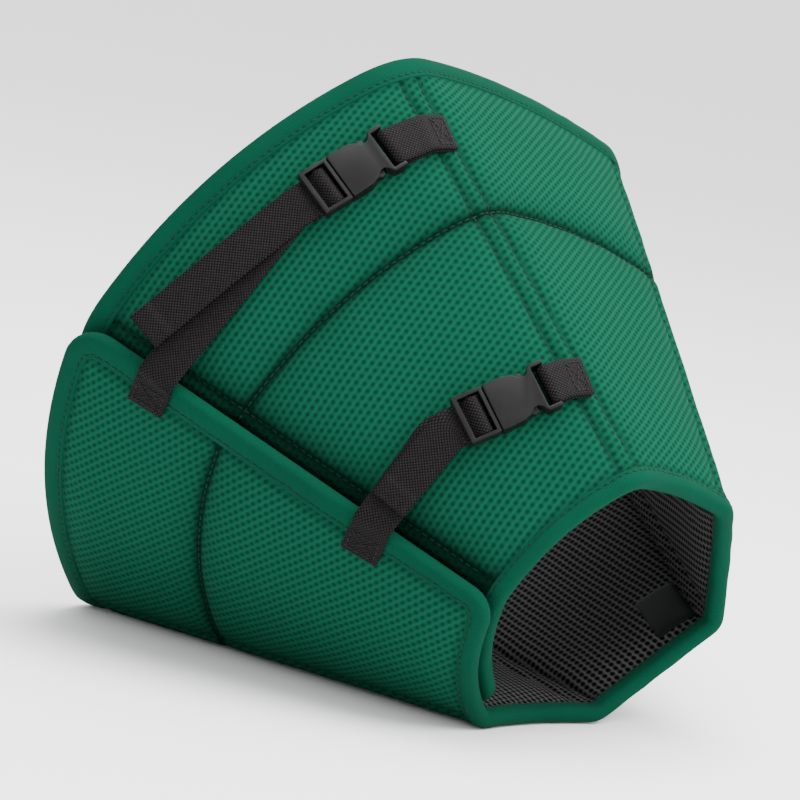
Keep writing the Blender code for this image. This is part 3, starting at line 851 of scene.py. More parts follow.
    def shade(self, place: np.ndarray, slant: np.ndarray, skin: Skin) -> np.ndarray:
        """How much painted shade darkens the cloth in the seams, at the tape's edge and under the flap's edge.

        Args:
            place: places along the sheet.
            slant: shares of the slant.
            skin: which face.

        Returns:
            Values from 0 to 1.
        """
        cone = self.cone
        width = cone.panel_width(place, slant)
        last = float(len(cone.panels))
        ends = np.minimum((place - cone.start) * width, (last - place) * width)
        edges = np.minimum(slant, 1.0 - slant) * cone.slant
        from_tape = np.minimum(ends, edges) - self.tape_reach * self.tape_share(slant)
        fold = np.abs(place - np.clip(np.round(place), 1, last - 1)) * width
        ring = np.abs(slant - cone.middle_seam) * cone.slant
        # Painted shade along the middle seam, the fold channels and the tape's edge.
        found = 0.65 * np.exp(-((ring / 0.0016) ** 2)) + 0.30 * np.exp(-ring / 0.0060)
        found += 0.28 * np.exp(-(((fold - self.channel_half) / 0.0014) ** 2)) + 0.12 * np.exp(-fold / 0.007)
        found += 0.30 * np.exp(-((from_tape / 0.0016) ** 2))
        if skin is Skin.OUTER:
            # Painted shadow under the flap's edge, stronger toward the neck.
            beyond = (place - 1.0) * width
            flap_shadow = np.exp(-np.maximum(beyond - 0.004, 0.0) / 0.0045) * (place < 2.0)
            found += 0.85 * flap_shadow * (0.35 + 0.65 * np.clip(slant * 1.6, 0.0, 1.0))
        return np.clip(found, 0.0, 0.92)


@dataclass
class StitchRow:
    """A row of raised stitches along a line of points."""

    length: float = 0.0024
    gap: float = 0.0008
    radius: float = 0.00028
    sides: int = 5

    def stitches(self, line: np.ndarray, up: np.ndarray) -> tuple:
        """Makes the stitches' points and faces.

        Args:
            line: points along the seam, on the cloth.
            up: the cloth's normal at each point.

        Returns:
            Points and faces.
        """
        steps = np.concatenate([[0.0], np.cumsum(np.linalg.norm(np.diff(line, axis=0), axis=1))])
        count = int(steps[-1] // (self.length + self.gap))
        points = []
        faces = []
        profile = ((0.0, 0.15), (0.15, 0.85), (0.5, 1.0), (0.85, 0.85), (1.0, 0.15))
        for index in range(count):
            start = index * (self.length + self.gap) + self.gap / 2.0
            stations = np.array([start + share * self.length for share, _ in profile])
            centre = np.stack([np.interp(stations, steps, line[:, axis]) for axis in range(3)], axis=1)
            normal = unit(np.stack([np.interp(stations, steps, up[:, axis]) for axis in range(3)], axis=1))
            along = unit(centre[-1] - centre[0])
            across = unit(np.cross(normal, along))
            base = len(points)
            for ring, (_, swell) in enumerate(profile):
                for side in range(self.sides):
                    angle = 2.0 * math.pi * side / self.sides
                    reach = self.radius * swell
                    offset = across[ring] * math.cos(angle) * 1.25 + normal[ring] * (math.sin(angle) + 0.35)
                    points.append(centre[ring] + offset * reach)
            for ring in range(len(profile) - 1):
                for side in range(self.sides):
                    after = (side + 1) % self.sides
                    a = base + ring * self.sides
                    b = a + self.sides
                    faces.append((a + side, a + after, b + after, b + side))
            faces.append(tuple(base + side for side in reversed(range(self.sides))))
            tail = base + (len(profile) - 1) * self.sides
            faces.append(tuple(tail + side for side in range(self.sides)))
        return points, faces

    def build(self, name: str, lines: list, finish: bpy.types.Material) -> bpy.types.Object:
        """Builds all the rows as one piece.

        Args:
            name: the piece's name.
            lines: pairs of points and normals.
            finish: the thread.

        Returns:
            The object.
        """
        points = []
        faces = []
        for line, up in lines:
            more, quads = self.stitches(line, up)
            base = len(points)
            points += more
            faces += [tuple(base + number for number in quad) for quad in quads]
        return piece_from(name, np.array(points), faces, finish)


@dataclass
class FoldedTape:
    """The binding tape folded round every edge of the sheet."""

    sheet: QuiltedSheet
    reach: float = 0.0076
    proud: float = 0.0016
    half: float = 0.0034
    wall: float = 0.0008
    stitch_inset: float = 0.0016

    def section(self) -> np.ndarray:
        """The U's outline: (inward from the sheet's edge, out from its middle)."""
        top = [
            (self.reach + 0.0003, self.half - self.wall),
            (self.reach + 0.0002, self.half - 0.65 * self.wall),
            (self.reach - 0.0004, self.half - 0.25 * self.wall),
            (self.reach - self.stitch_inset + 0.0006, self.half - 0.0001),
            (self.reach - self.stitch_inset, self.half - 0.0004),
            (self.reach - self.stitch_inset - 0.0006, self.half - 0.0001),
            (0.0040, self.half + 0.0001),
            (0.0018, self.half),
            (0.0002, self.half * 0.93),
            (-0.0008, self.half * 0.72),
            (-self.proud * 0.85, self.half * 0.42),
        ]
        outer = top + [(-self.proud, 0.0)] + [(a, -b) for a, b in reversed(top)]
        inner = self.half - self.wall - 0.0001
        inside = [(-0.0003, -inner), (-0.0003, inner)]
        return np.array(outer + inside)

    def path(self) -> tuple:
        """The sheet's outline: points, the tape's share of its width, normals and inward directions."""
        place, slant = self.sheet.grid()
        loop_place = np.concatenate([place[:, 0], place[-1, 1:], place[-2::-1, -1], place[0, -2:0:-1]])
        loop_slant = np.concatenate([slant[:, 0], slant[-1, 1:], slant[-2::-1, -1], slant[0, -2:0:-1]])
        cone = self.sheet.cone
        centre = cone.on_sheet(loop_place, loop_slant, np.zeros_like(loop_place))
        ahead = unit(np.roll(centre, -1, axis=0) - centre)
        behind = unit(centre - np.roll(centre, 1, axis=0))
        along = unit(ahead + behind)
        normal = cone.sheet_normal(loop_place, loop_slant)
        normal = unit(normal - along * np.sum(normal * along, axis=1, keepdims=True))
        inward = unit(np.cross(along, normal))
        return centre, self.sheet.tape_share(loop_slant), normal, inward

    def build(self, name: str, finish: bpy.types.Material) -> bpy.types.Object:
        """Builds the tape as one closed loop.

        Args:
            name: the piece's name.
            finish: the tape's cloth.

        Returns:
            The object.
        """
        centre, share, normal, inward = self.path()
        section = self.section()
        steps = np.linalg.norm(np.roll(centre, -1, axis=0) - centre, axis=1)
        run = np.concatenate([[0.0], np.cumsum(steps)[:-1]])
        ripple = 0.00012 * np.sin(run / 0.0031 + 2.0 * np.sin(run / 0.013))
        a = section[None, :, 0:1] * np.where(section[None, :, 0:1] > 0.0, share[:, None, None], 1.0)
        b = section[None, :, 1:2]
        shape = centre[:, None, :] + inward[:, None, :] * a + normal[:, None, :] * b
        shape = shape + normal[:, None, :] * ripple[:, None, None] * np.sign(b) * (np.abs(b) > 0.0030)
        shape[..., 2] = np.maximum(shape[..., 2], 0.00005)
        count = section.shape[0]
        number = np.arange(len(centre) * count).reshape(len(centre), count)
        after = np.roll(number, -1, axis=0)
        faces = np.stack(
            [number, np.roll(number, -1, axis=1), np.roll(after, -1, axis=1), after], axis=-1
        ).reshape(-1, 4)
        round_section = np.concatenate([[0.0], np.cumsum(np.linalg.norm(np.diff(section, axis=0), axis=1))])
        pattern = np.stack(np.broadcast_arrays(round_section[None, :], run[:, None]), axis=-1)
        return piece_from(name, shape.reshape(-1, 3), faces, finish, pattern.reshape(-1, 2))

    def stitch_lines(self) -> list:
        """The two lines of stitches that hold the tape, one on each face."""
        centre, share, normal, inward = self.path()
        inset = (self.reach - self.stitch_inset) * share[:, None]
        lines = []
        for side in (1.0, -1.0):
            line = centre + inward * inset + normal * side * (self.half - 0.0003)
            closed = np.concatenate([line, line[:1]])
            up = np.concatenate([normal, normal[:1]]) * side
            lines.append((closed, up))
        return lines


@dataclass
class SeamThread:
    """The stitches of the folds and of the middle seam."""

    sheet: QuiltedSheet
    fold_offset: float = 0.0040
    margin: float = 0.0095

    def lines(self, skin: Skin) -> list:
        """Lines on one face of the sheet.

        Args:
            skin: which face.

        Returns:
            Pairs of points and normals.
        """
        cone = self.sheet.cone
        found = []
        end = self.margin / cone.slant
        slant = np.linspace(end, 1.0 - end, 90)
        for seam in range(1, len(cone.panels)):
            for side in (-1.0, 1.0):
                place = self.sheet.column(float(seam), side * self.fold_offset, slant)
                found.append(self.on_skin(place, slant, skin))
        start = cone.start + self.margin / 0.11
        last = len(cone.panels) - self.margin / 0.11
        place = np.linspace(start, last, 620)
        found.append(self.on_skin(place, np.full_like(place, cone.middle_seam), skin))
        return found

    def on_skin(self, place: np.ndarray, slant: np.ndarray, skin: Skin) -> tuple:
        """A line lying on the cloth and the cloth's normal along it."""
        side = float(skin.value)
        height = self.sheet.cone.half_gap + self.sheet.thickness(place, slant, skin)
        line = self.sheet.cone.on_sheet(place, slant, side * height)
        return line, self.sheet.cone.sheet_normal(place, slant) * side


# Straps and buckles


@dataclass(frozen=True)
class StrapRow:
    """Where one strap and its buckle lie: (panels along the sheet, share of the slant)."""

    name: str
    sewn: float
    male: tuple
    junction: tuple
    female: tuple
    tab: tuple
    tail: tuple
    tail_lift: float
    tail_arch: float


# The webbing's way round the plug's bar: along the buckle and out of the panel
BAR_ROUTE = (
    (-0.0130, -0.0026), (-0.0100, -0.0026), (-0.0055, -0.0026), (-0.0036, -0.0021), (-0.0027, -0.0006),
    (-0.0029, 0.0008), (-0.0040, 0.0017), (-0.0055, 0.0018), (-0.0070, 0.0014), (-0.0080, 0.0004),
    (-0.0089, -0.0005), (-0.0100, -0.0008), (-0.0130, -0.0008),
)

STRAPS = (
    StrapRow(
        "upper", 0.200, (1.606, 0.174), (1.686, 0.177), (1.870, 0.174), (2.022, 0.184),
        (1.056, 0.128), 0.0125, 0.0012,
    ),
    StrapRow(
        "lower", 0.722, (1.476, 0.731), (1.611, 0.736), (1.837, 0.755), (2.020, 0.765),
        (1.07, 0.7235), 0.0103, 0.0004,
    ),
)


@dataclass
class BuckleStrap:
    """One webbing strap, its anchor loop and its side-release buckle."""

    cone: RolledCone
    sheet: QuiltedSheet
    row: StrapRow
    web_width: float = 0.015
    web_thick: float = 0.0014
    web_clear: float = 0.0003
    tape_half: float = 0.0034
    tab_on_flap: float = 0.0105
    buckle_height: float = 0.0078
    socket_length: float = 0.024
    plug_frame: float = 0.012
    bar_half: float = 0.0009
    hem: float = 0.0085
    lower_strand: float = -0.0026
    upper_strand: float = -0.0008

    def __post_init__(self) -> None:
        """Finds the buckle's own frame."""
        row = self.row
        origin = self.at(row.junction, self.buckle_height)
        forward = unit(self.at(row.female, self.buckle_height * 0.93) - origin)
        middle = np.array((row.male[0] + row.female[0]) / 2.0)
        up = self.cone.normal(middle) @ self.cone.turn.T
        up = unit(up - forward * np.dot(forward, up))
        self.frame = np.eye(4)
        self.frame[:3, 0] = forward
        self.frame[:3, 1] = np.cross(up, forward)
        self.frame[:3, 2] = up
        self.frame[:3, 3] = origin
        self.wrap_radius = self.bar_half + self.web_clear + self.web_thick / 2.0 + 0.0002

    def at(self, spot: tuple, height: float) -> np.ndarray:
        """A point at a height above the cone."""
        return self.cone.on_cone(np.array(spot[0]), np.array(spot[1]), np.array(height))

    def local(self, x: float, z: float) -> np.ndarray:
        """A point on the buckle's middle line."""
        return (self.frame @ np.array([x, 0.0, z, 1.0]))[:3]

    def skin_height(self, place: float, slant: float) -> float:
        """The cloth's height above the cone."""
        spot = np.array([place]), np.array([slant])
        return float((self.cone.layer(spot[0]) + self.sheet.thickness(*spot, Skin.OUTER))[0])

    def wrap(self, centre: tuple, start: float, end: float, steps: int) -> list:
        """Points round a bar, from one angle to another in degrees."""
        angles = np.radians(np.linspace(start, end, steps + 1))
        radius = self.wrap_radius
        return [
            self.local(centre[0] + radius * math.cos(a), centre[1] + radius * math.sin(a)) for a in angles
        ]

    def side_at(self, path: np.ndarray) -> np.ndarray:
        """The direction across the webbing, level with the panel below."""
        along = unit(np.gradient(path, axis=0))
        tip = self.cone.placed(self.cone.apex)
        generator = unit(tip - path)
        side = unit(generator - along * np.sum(along * generator, axis=1, keepdims=True))
        facing = np.sum(side * self.frame[:3, 1], axis=1, keepdims=True)
        return np.where(facing < 0.0, -side, side)

    def strap_path(self) -> tuple:
        """The strap's middle line and its directions across.

        Returns:
            Points and side directions, from the stitched end to the end of the tail.
        """
        row = self.row
        cone = self.cone
        end = cone.flap + 1.0
        half = self.tape_half + self.web_clear + self.web_thick / 2.0
        width = float(cone.panel_width(np.array(cone.flap + 0.5), np.array(row.sewn)))
        knots = []
        for inward, lift in ((self.tab_on_flap, 0.0012), (0.006, 0.0005), (0.0005, 0.0005)):
            knots.append(self.on_flap(end - inward / width, half + lift))
        edge = self.on_flap(end, half)
        beyond = unit(edge - self.on_flap(end - 0.01 / width, half))
        normal = cone.normal(np.array(end)) @ cone.turn.T
        bend = edge + beyond * 0.0038 + normal * 0.0002
        toe = self.local(-self.plug_frame - 0.0100, self.lower_strand)
        knots += [bend + (toe - bend) * share for share in (0.0, 0.35, 0.70, 1.0)]
        knots.append(self.local(-self.plug_frame - 0.0030, self.lower_strand))
        lower = smooth_line(np.array(knots), 10)
        bar = smooth_line(np.array([self.local(x, z) for x, z in BAR_ROUTE]), 4)
        across = np.tile(self.frame[:3, 1], (len(bar), 1))
        tail = self.tail_path()
        path = np.concatenate([lower, bar, tail[1:]])
        sides = np.concatenate([self.side_at(lower), across, self.side_at(tail)[1:]])
        return even_line(path, sides, 0.0011)

    def on_flap(self, place: float, height: float) -> np.ndarray:
        """A point above the flap's middle layer, at the strap's slant."""
        return self.cone.on_sheet(np.array(place), np.array(self.row.sewn), np.array(height))

    def tail_path(self) -> np.ndarray:
        """The free tail, lying over the strap and drifting toward the rim."""
        row = self.row
        near = self.local(-self.plug_frame - 0.0010, self.upper_strand)
        start = self.local(-self.plug_frame - 0.0050, self.upper_strand + 0.0001)
        end = self.at(row.tail, row.tail_lift)
        up = self.frame[:3, 2]
        knots = [near, start]
        for share in (0.25, 0.50, 0.75, 1.0):
            arch = row.tail_arch * math.sin(math.pi * share)
            knots.append(start + (end - start) * share + up * arch)
        return smooth_line(np.array(knots), 10)

    def anchor_path(self) -> tuple:
        """The short loop that holds the socket: from the seam, round its bar and back."""
        row = self.row
        bar = self.socket_length - self.bar_half
        loop = np.array(self.wrap((bar, 0.0), -75.0, -285.0, 14))
        lift = self.web_clear + self.web_thick / 2.0
        start = row.female[0] + 0.045
        below = []
        above = []
        for share in (1.0, 0.66, 0.3):
            place = start + (row.tab[0] - start) * share
            slant = row.female[1] + (row.tab[1] - row.female[1]) * share
            height = self.skin_height(place, slant) + lift
            raised = 0.0018 * (1.0 - share)
            below.append(self.at((place, slant), height + raised))
            more = self.web_thick + 0.00005 + 0.0014 * (1.0 - share)
            above.append(self.at((place, slant), height + raised + more))
        lower = smooth_line(np.array(below), 6)
        upper = smooth_line(np.array(above[::-1]), 6)
        path = np.concatenate([lower, loop, upper])
        across = np.tile(self.frame[:3, 1], (len(loop), 1))
        sides = np.concatenate([self.side_at(lower), across, self.side_at(upper)])
        return even_line(path, sides, 0.0009)

    def web(
        self,
        name: str,
        path: tuple,
        finish: bpy.types.Material,
        hem: float = 0.0,
    ) -> bpy.types.Object:
        """Flat webbing with rounded edges along a path.

        Args:
            name: the piece's name.
            path: points and side directions.
            finish: the webbing's material.
            hem: the length of the doubled hem at the path's end.

        Returns:
            The object.
        """
        line, side = path
        along = unit(np.gradient(line, axis=0))
        up = unit(np.cross(along, side))
        half = self.web_width / 2.0
        thick = self.web_thick / 2.0
        profile = []
        for x, z in ((-1.0, 0.25), (-0.965, 0.8), (-0.93, 1.0), (-0.6, 0.97), (-0.3, 0.98), (0.0, 1.0)):
            profile.append((x * half, z * thick))
        profile += [(-x, z) for x, z in reversed(profile[:-1])]
        profile += [(x, -z) for x, z in reversed(profile)]
        shape = np.array(profile)
        run = np.concatenate([[0.0], np.cumsum(np.linalg.norm(np.diff(line, axis=0), axis=1))])
        fuller = 1.0 + 0.9 * np.clip((run - run[-1] + hem) / 0.0012, 0.0, 1.0) * (hem > 0.0)
        points = line[:, None, :] + side[:, None, :] * shape[None, :, 0:1]
        points = points + up[:, None, :] * shape[None, :, 1:2] * fuller[:, None, None]
        count = len(shape)
        rows = len(line)
        number = np.arange(rows * count).reshape(rows, count)
        quads = np.stack(
            [
                number[:-1],
                np.roll(number, -1, axis=1)[:-1],
                np.roll(number, -1, axis=1)[1:],
                number[1:],
            ],
            axis=-1,
        ).reshape(-1, 4)
        faces = [tuple(quad) for quad in quads]
        faces.append(tuple(number[0][::-1]))
        faces.append(tuple(number[-1]))
        pattern = np.stack(np.broadcast_arrays(shape[None, :, 0], run[:, None]), axis=-1)
        return piece_from(name, points.reshape(-1, 3), faces, finish, pattern.reshape(-1, 2))

    def build(
        self,
        webbing: bpy.types.Material,
        plastic: bpy.types.Material,
        thread: bpy.types.Material,
    ) -> None:
        """Builds the strap, its loop, its stitches and its buckle.

        Args:
            webbing: the straps' material.
            plastic: the buckle's material.
            thread: the stitches' material.
        """
        name = self.row.name
        strap_line = self.strap_path()
        strap = self.web(name + "_webbing_strap", strap_line, webbing, self.hem)
        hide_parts(name + "_strap")
        anchor_line = self.anchor_path()
        anchor = self.web(name + "_webbing_loop", anchor_line, webbing)
        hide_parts(name + "_anchor_web")
        rows = self.tab_rows(*strap_line, 1.0) + self.tab_rows(anchor_line[0][::-1], anchor_line[1][::-1], -1.0)
        stitches = StitchRow(length=0.0017, gap=0.0006, radius=0.00022).build(name + "_tab_stitches", rows, thread)
        for part in ("socket", "plug"):
            RoundedMoulding(name + "_buckle_" + part).build(plastic)
        log.info("%s strap, loop and buckle", name)

    def tab_rows(self, line: np.ndarray, side: np.ndarray, facing: float) -> list:
        """The box and cross stitched through the first stretch of a webbing line.

        Args:
            line: the webbing's points, from its stitched end.
            side: its directions across.
            facing: 1 where the seen face is on the path's own upper side.

        Returns:
            Pairs of points and normals.
        """
        run = np.concatenate([[0.0], np.cumsum(np.linalg.norm(np.diff(line, axis=0), axis=1))])
        up = unit(np.cross(unit(np.gradient(line, axis=0)), side)) * facing
        near = 0.0016
        far = self.tab_on_flap - 0.0022
        half = self.web_width / 2.0 - 0.0018
        corners = ((near, -half), (far, -half), (far, half), (near, half), (near, -half), (far, half))
        routes = [corners, ((far, -half), (near, half))]
        rows = []
        for route in routes:
            along, across = smooth_corners(route)
            centre = np.stack([np.interp(along, run, line[:, axis]) for axis in range(3)], axis=1)
            over = unit(np.stack([np.interp(along, run, up[:, axis]) for axis in range(3)], axis=1))
            beside = unit(np.stack([np.interp(along, run, side[:, axis]) for axis in range(3)], axis=1))
            points = centre + beside * across[:, None] + over * (self.web_thick / 2.0 + 0.00005)
            rows.append((points, over))
        return rows


@dataclass
class RoundedMoulding:
    """A packed moulding with its edges rounded off."""

    node: str
    round_off: float = 0.00045
    sharp: float = 35.0
    steps: int = 3

    def build(self, finish: bpy.types.Material) -> bpy.types.Object:
        """Builds the rounded moulding in the node's place.

        Args:
            finish: its plastic.

        Returns:
            The object.
        """
        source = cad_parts[self.node]
        shape = bmesh.new()
        shape.from_mesh(source.data)
        shape.transform(source.matrix_world)
        bmesh.ops.remove_doubles(shape, verts=shape.verts, dist=0.00002)
        bmesh.ops.dissolve_limit(
            shape, angle_limit=math.radians(2.0), verts=shape.verts, edges=shape.edges
        )
        limit = math.radians(self.sharp)
        edges = [edge for edge in shape.edges if edge.is_manifold and edge.calc_face_angle(0.0) > limit]
        bmesh.ops.bevel(
            shape,
            geom=edges,
            offset=self.round_off,
            offset_type="OFFSET",
            segments=self.steps,
            profile=0.5,
            affect="EDGES",
            clamp_overlap=True,
        )
        mesh = bpy.data.meshes.new(self.node + "_rounded")
        shape.to_mesh(mesh)
        shape.free()
        mesh.materials.append(finish)
        mesh.shade_smooth()
        mesh.set_sharp_from_angle(angle=math.radians(50.0))
        made = bpy.data.objects.new(self.node + "_rounded", mesh)
        bpy.context.scene.collection.objects.link(made)
        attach(made, ROOT)
        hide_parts(self.node)
        return made


def smooth_corners(route: tuple, step: float = 0.0004) -> tuple:
    """Spreads a route's straight runs into close points.

    Args:
        route: pairs of distances, along and across.
        step: the distance between points.

    Returns:
        The distances along and across.
    """
    corners = np.array(route)
    run = np.concatenate([[0.0], np.cumsum(np.linalg.norm(np.diff(corners, axis=0), axis=1))])
    stations = np.linspace(0.0, run[-1], int(run[-1] / step))
    return np.interp(stations, run, corners[:, 0]), np.interp(stations, run, corners[:, 1])


def smooth_line(knots: np.ndarray, steps: int) -> np.ndarray:
    """A Catmull-Rom line through points.

    Args:
        knots: the points.
        steps: points for each span.

    Returns:
        Points along the line.
    """
    padded = np.concatenate([knots[:1], knots, knots[-1:]])
    found = []
    for index in range(len(knots) - 1):
        a, b, c, d = padded[index:index + 4]
        for t in np.arange(steps) / steps:
            found.append(
                0.5 * (
                    2.0 * b + (c - a) * t
                    + (2.0 * a - 5.0 * b + 4.0 * c - d) * t ** 2
                    + (3.0 * b - a - 3.0 * c + d) * t ** 3
                )
            )
    found.append(knots[-1])
    return np.array(found)


def even_line(path: np.ndarray, sides: np.ndarray, step: float) -> tuple:
    """Spreads a path's points evenly.

    Args:
        path: points.
        sides: the side direction at each.
        step: the distance between the new points.

    Returns:
        New points and side directions.
    """
    run = np.concatenate([[0.0], np.cumsum(np.linalg.norm(np.diff(path, axis=0), axis=1))])
    stations = np.linspace(0.0, run[-1], max(int(run[-1] / step), 4))
    line = np.stack([np.interp(stations, run, path[:, axis]) for axis in range(3)], axis=1)
    side = unit(np.stack([np.interp(stations, run, sides[:, axis]) for axis in range(3)], axis=1))
    for _ in range(2):
        line[1:-1] = 0.25 * line[:-2] + 0.5 * line[1:-1] + 0.25 * line[2:]
    return line, side


@dataclass
class NeckPatch:
    """The small plain patch inside the neck."""

    sheet: QuiltedSheet
    across: float = 0.017
    along: float = 0.027
    thick: float = 0.0007
    middle_place: float = 4.2
    middle_slant: float = 0.875

    def build(self, finish: bpy.types.Material) -> bpy.types.Object:
        """Builds the patch on the lining."""
        cone = self.sheet.cone
        steps = np.linspace(-0.5, 0.5, 13)
        a, b = np.meshgrid(steps, steps, indexing="ij")
        slant = self.middle_slant + b * self.along / cone.slant
        place = self.middle_place + a * self.across / cone.panel_width(np.full_like(a, self.middle_place), slant)
        height = cone.half_gap + self.sheet.thickness(place, slant, Skin.INNER)
        edge = np.clip((0.5 - np.maximum(np.abs(a), np.abs(b))) / 0.09, 0.0, 1.0)
        top = cone.on_sheet(place, slant, -(height + 0.0001 + self.thick * (0.35 + 0.65 * np.sqrt(edge))))
        under = cone.on_sheet(place, slant, -(height + 0.00005))
        points = np.concatenate([top.reshape(-1, 3), under.reshape(-1, 3)])
        count = a.size
        faces = grid_faces(*a.shape)
        number = np.arange(count).reshape(a.shape)
        loop = np.concatenate([number[:, 0], number[-1, 1:], number[-2::-1, -1], number[0, -2:0:-1]])
        after = np.roll(loop, -1)
        wall = np.stack([loop, after, after + count, loop + count], axis=1)
        pattern = np.stack([a * self.across, b * self.along], axis=-1).reshape(-1, 2)
        every = np.concatenate([faces, faces[:, ::-1] + count, wall])
        made = piece_from("neck_patch", points, every, finish, np.concatenate([pattern, pattern]))
        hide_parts("neck_label")
        return made


# Floor, light and camera


@dataclass
class Studio:
    """A pale floor, soft light from above and the camera at the photograph's angle."""

    azimuth: float = 42.41
    elevation: float = 12.0
    roll: float = 10.02
    distance: float = 1.4657
    focal: float = 1813.6
    zoom: float = 2.08
    photo_middle: tuple = (199.0, 434.0)
    panel_middle: tuple = (186.4, 555.8)
    frame_size: float = 800.0
    sensor: float = 36.0
    floor_tone: float = 0.90
    sky: float = 2.2
    left_tone: float = 0.04

    def build(self, cone: RolledCone) -> None:
        """Builds the floor, the lights and the camera.

        Args:
            cone: the collar's surface, for the floor panel's middle.
        """
        self.floor()
        self.lights()
        self.camera(cone)

    def floor(self) -> None:
        """A pale floor and a pale world that is dimmer on the flap's side."""
        bpy.ops.mesh.primitive_plane_add(size=30.0, location=(0.0, 0.0, -0.0002))
        ground = bpy.context.object
        ground.name = "floor"
        look = Look("pale_floor")
        look.feed("Base Color", (self.floor_tone, self.floor_tone, self.floor_tone, 1.0))
        look.feed("Roughness", 0.9)
        look.feed("Specular IOR Level", 0.1)
        ground.data.materials.append(look.material)
        world = bpy.context.scene.world or bpy.data.worlds.new("studio")
        bpy.context.scene.world = world
        world.use_nodes = True
        tree = world.node_tree
        sky = tree.nodes["Background"]
        sky.inputs["Strength"].default_value = self.sky
        angle = math.radians(self.azimuth)
        toward = tree.nodes.new("ShaderNodeVectorMath")
        toward.operation = "DOT_PRODUCT"
        toward.inputs[1].default_value = (math.cos(angle), math.sin(angle), 0.0)
        tree.links.new(tree.nodes.new("ShaderNodeTexCoord").outputs["Generated"], toward.inputs[0])
        spread = tree.nodes.new("ShaderNodeMapRange")
        spread.interpolation_type = "SMOOTHSTEP"
        for socket, value in ((1, -1.0), (2, -0.45), (3, self.left_tone), (4, 1.0)):
            spread.inputs[socket].default_value = value
        tree.links.new(toward.outputs["Value"], spread.inputs[0])
        tree.links.new(spread.outputs[0], sky.inputs["Color"])

    def lights(self) -> None:
        """Large soft lamps: one above and one at the upper right."""
        rows = (
            ("above", (0.10, 0.10, 1.70), (0.0, 0.0, 0.1), 1.6, 58.0),
            ("right", (1.05, 0.35, 1.25), (0.0, 0.0, 0.1), 0.9, 26.0),
        )
        for name, place, aim, size, power in rows:
            lamp = bpy.data.lights.new(name, "AREA")
            lamp.shape = "DISK"
            lamp.size = size
            lamp.energy = power
            made = bpy.data.objects.new(name, lamp)
            made.location = place
            made.rotation_euler = (Vector(aim) - Vector(place)).to_track_quat("-Z", "Y").to_euler()
            bpy.context.scene.collection.objects.link(made)

    def camera(self, cone: RolledCone) -> None:
        """The camera, at the photograph's place, aimed at the collar's middle.

        Args:
            cone: the collar's surface.
        """
        az, el, roll = (math.radians(v) for v in (self.azimuth, self.elevation, self.roll))
        back = Vector((math.sin(az) * math.cos(el), -math.cos(az) * math.cos(el), math.sin(el)))
        right = Vector((math.cos(az), math.sin(az), 0.0))
        up = back.cross(right)
        tilted = right * math.cos(roll) + up * math.sin(roll)
        up = back.cross(tilted)
        corners = cone.placed(np.stack([cone.begin[cone.floor_panel], cone.finish[cone.floor_panel]]))
        tip = cone.placed(cone.apex)
        neck = tip + (corners - tip) * cone.neck_share
        target = Vector(np.concatenate([corners, neck]).mean(axis=0))
        eye = target + back * self.distance
        per_pixel = self.distance / self.focal
        aim = target + tilted * (self.photo_middle[0] - self.panel_middle[0]) * per_pixel
        aim = aim + up * (self.panel_middle[1] - self.photo_middle[1]) * per_pixel
        toward = (eye - aim).normalized()
        side = up.cross(toward).normalized()
        top = toward.cross(side)
        data = bpy.data.cameras.new("camera")
        data.sensor_width = self.sensor
        data.lens = self.focal * self.zoom / self.frame_size * self.sensor
        data.clip_end = 60.0
        made = bpy.data.objects.new("camera", data)
        pose = Matrix((side, top, toward)).transposed().to_4x4()
        pose.translation = eye
        made.matrix_world = pose
        bpy.context.scene.collection.objects.link(made)
        bpy.context.scene.camera = made


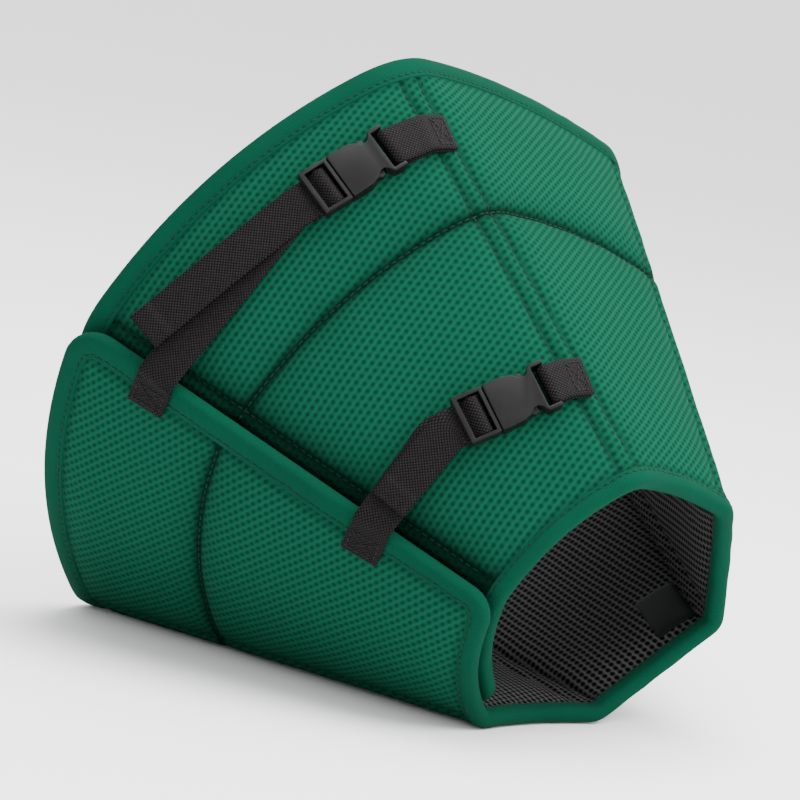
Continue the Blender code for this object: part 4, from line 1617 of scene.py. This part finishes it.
def seat_cone(cone: RolledCone, tape: FoldedTape) -> None:
    """Shifts the cone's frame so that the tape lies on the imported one.

    Args:
        cone: the surface to shift.
        tape: the tape on it.
    """
    centre, _, normal, inward = tape.path()
    section = tape.section()
    shape = centre[:, None, :] + inward[:, None, :] * section[None, :, 0:1] + normal[:, None, :] * section[None, :, 1:2]
    low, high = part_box("edge_binding")
    flat = shape.reshape(-1, 3)
    middle = (np.array(low) + np.array(high)) / 2.0 - (flat.min(axis=0) + flat.max(axis=0)) / 2.0
    cone.shift = np.array([middle[0], middle[1], 0.0])


def main() -> None:
    """Builds the collar's pieces in order."""
    logging.basicConfig(level=logging.INFO, format="%(message)s")
    green = AirMesh("green_air_mesh", (0.0042, 0.062, 0.034), (0.0006, 0.017, 0.009)).make()
    black = AirMesh(
        "black_lining_mesh", (0.0620, 0.0620, 0.0630), (0.0016, 0.0015, 0.0015), pitch=3.1 * MM,
        hole=1.0 * MM, hole_share=0.9, rib_share=0.5,
    ).make()
    tape_cloth = SmoothTape("green_tape", (0.0008, 0.043, 0.023), (0.0004, 0.025, 0.0135)).make()
    webbing = FlatWebbing().make()
    plastic = MouldedPlastic().make()
    thread = Thread("green_thread", (0.0002, 0.0120, 0.0064), (0.0004, 0.0220, 0.0116)).make()
    dark_thread = Thread("dark_thread", (0.0035, 0.0030, 0.0032), (0.0120, 0.0110, 0.0112)).make()
    cone = RolledCone()
    sheet = QuiltedSheet(cone)
    tape = FoldedTape(sheet)
    seat_cone(cone, tape)
    log.info("cone shift %s", np.round(cone.shift, 5).tolist())
    cover = sheet.build(Skin.OUTER, "quilted_cover", green)
    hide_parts("outer_cover")
    lining = sheet.build(Skin.INNER, "quilted_lining", black)
    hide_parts("lining")
    log.info("cover and lining")
    binding = tape.build("tape_binding", tape_cloth)
    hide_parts("edge_binding")
    stitches = StitchRow()
    seams = SeamThread(sheet)
    outer_rows = stitches.build("tape_stitches", tape.stitch_lines(), thread)
    cover_rows = stitches.build("cover_stitches", seams.lines(Skin.OUTER), thread)
    lining_rows = stitches.build("lining_stitches", seams.lines(Skin.INNER), dark_thread)
    log.info("tape and stitches")
    for row in STRAPS:
        BuckleStrap(cone, sheet, row).build(webbing, plastic, dark_thread)
    NeckPatch(sheet).build(PlainPatch().make())
    Studio().build(cone)


if __name__ == "__main__":
    main()
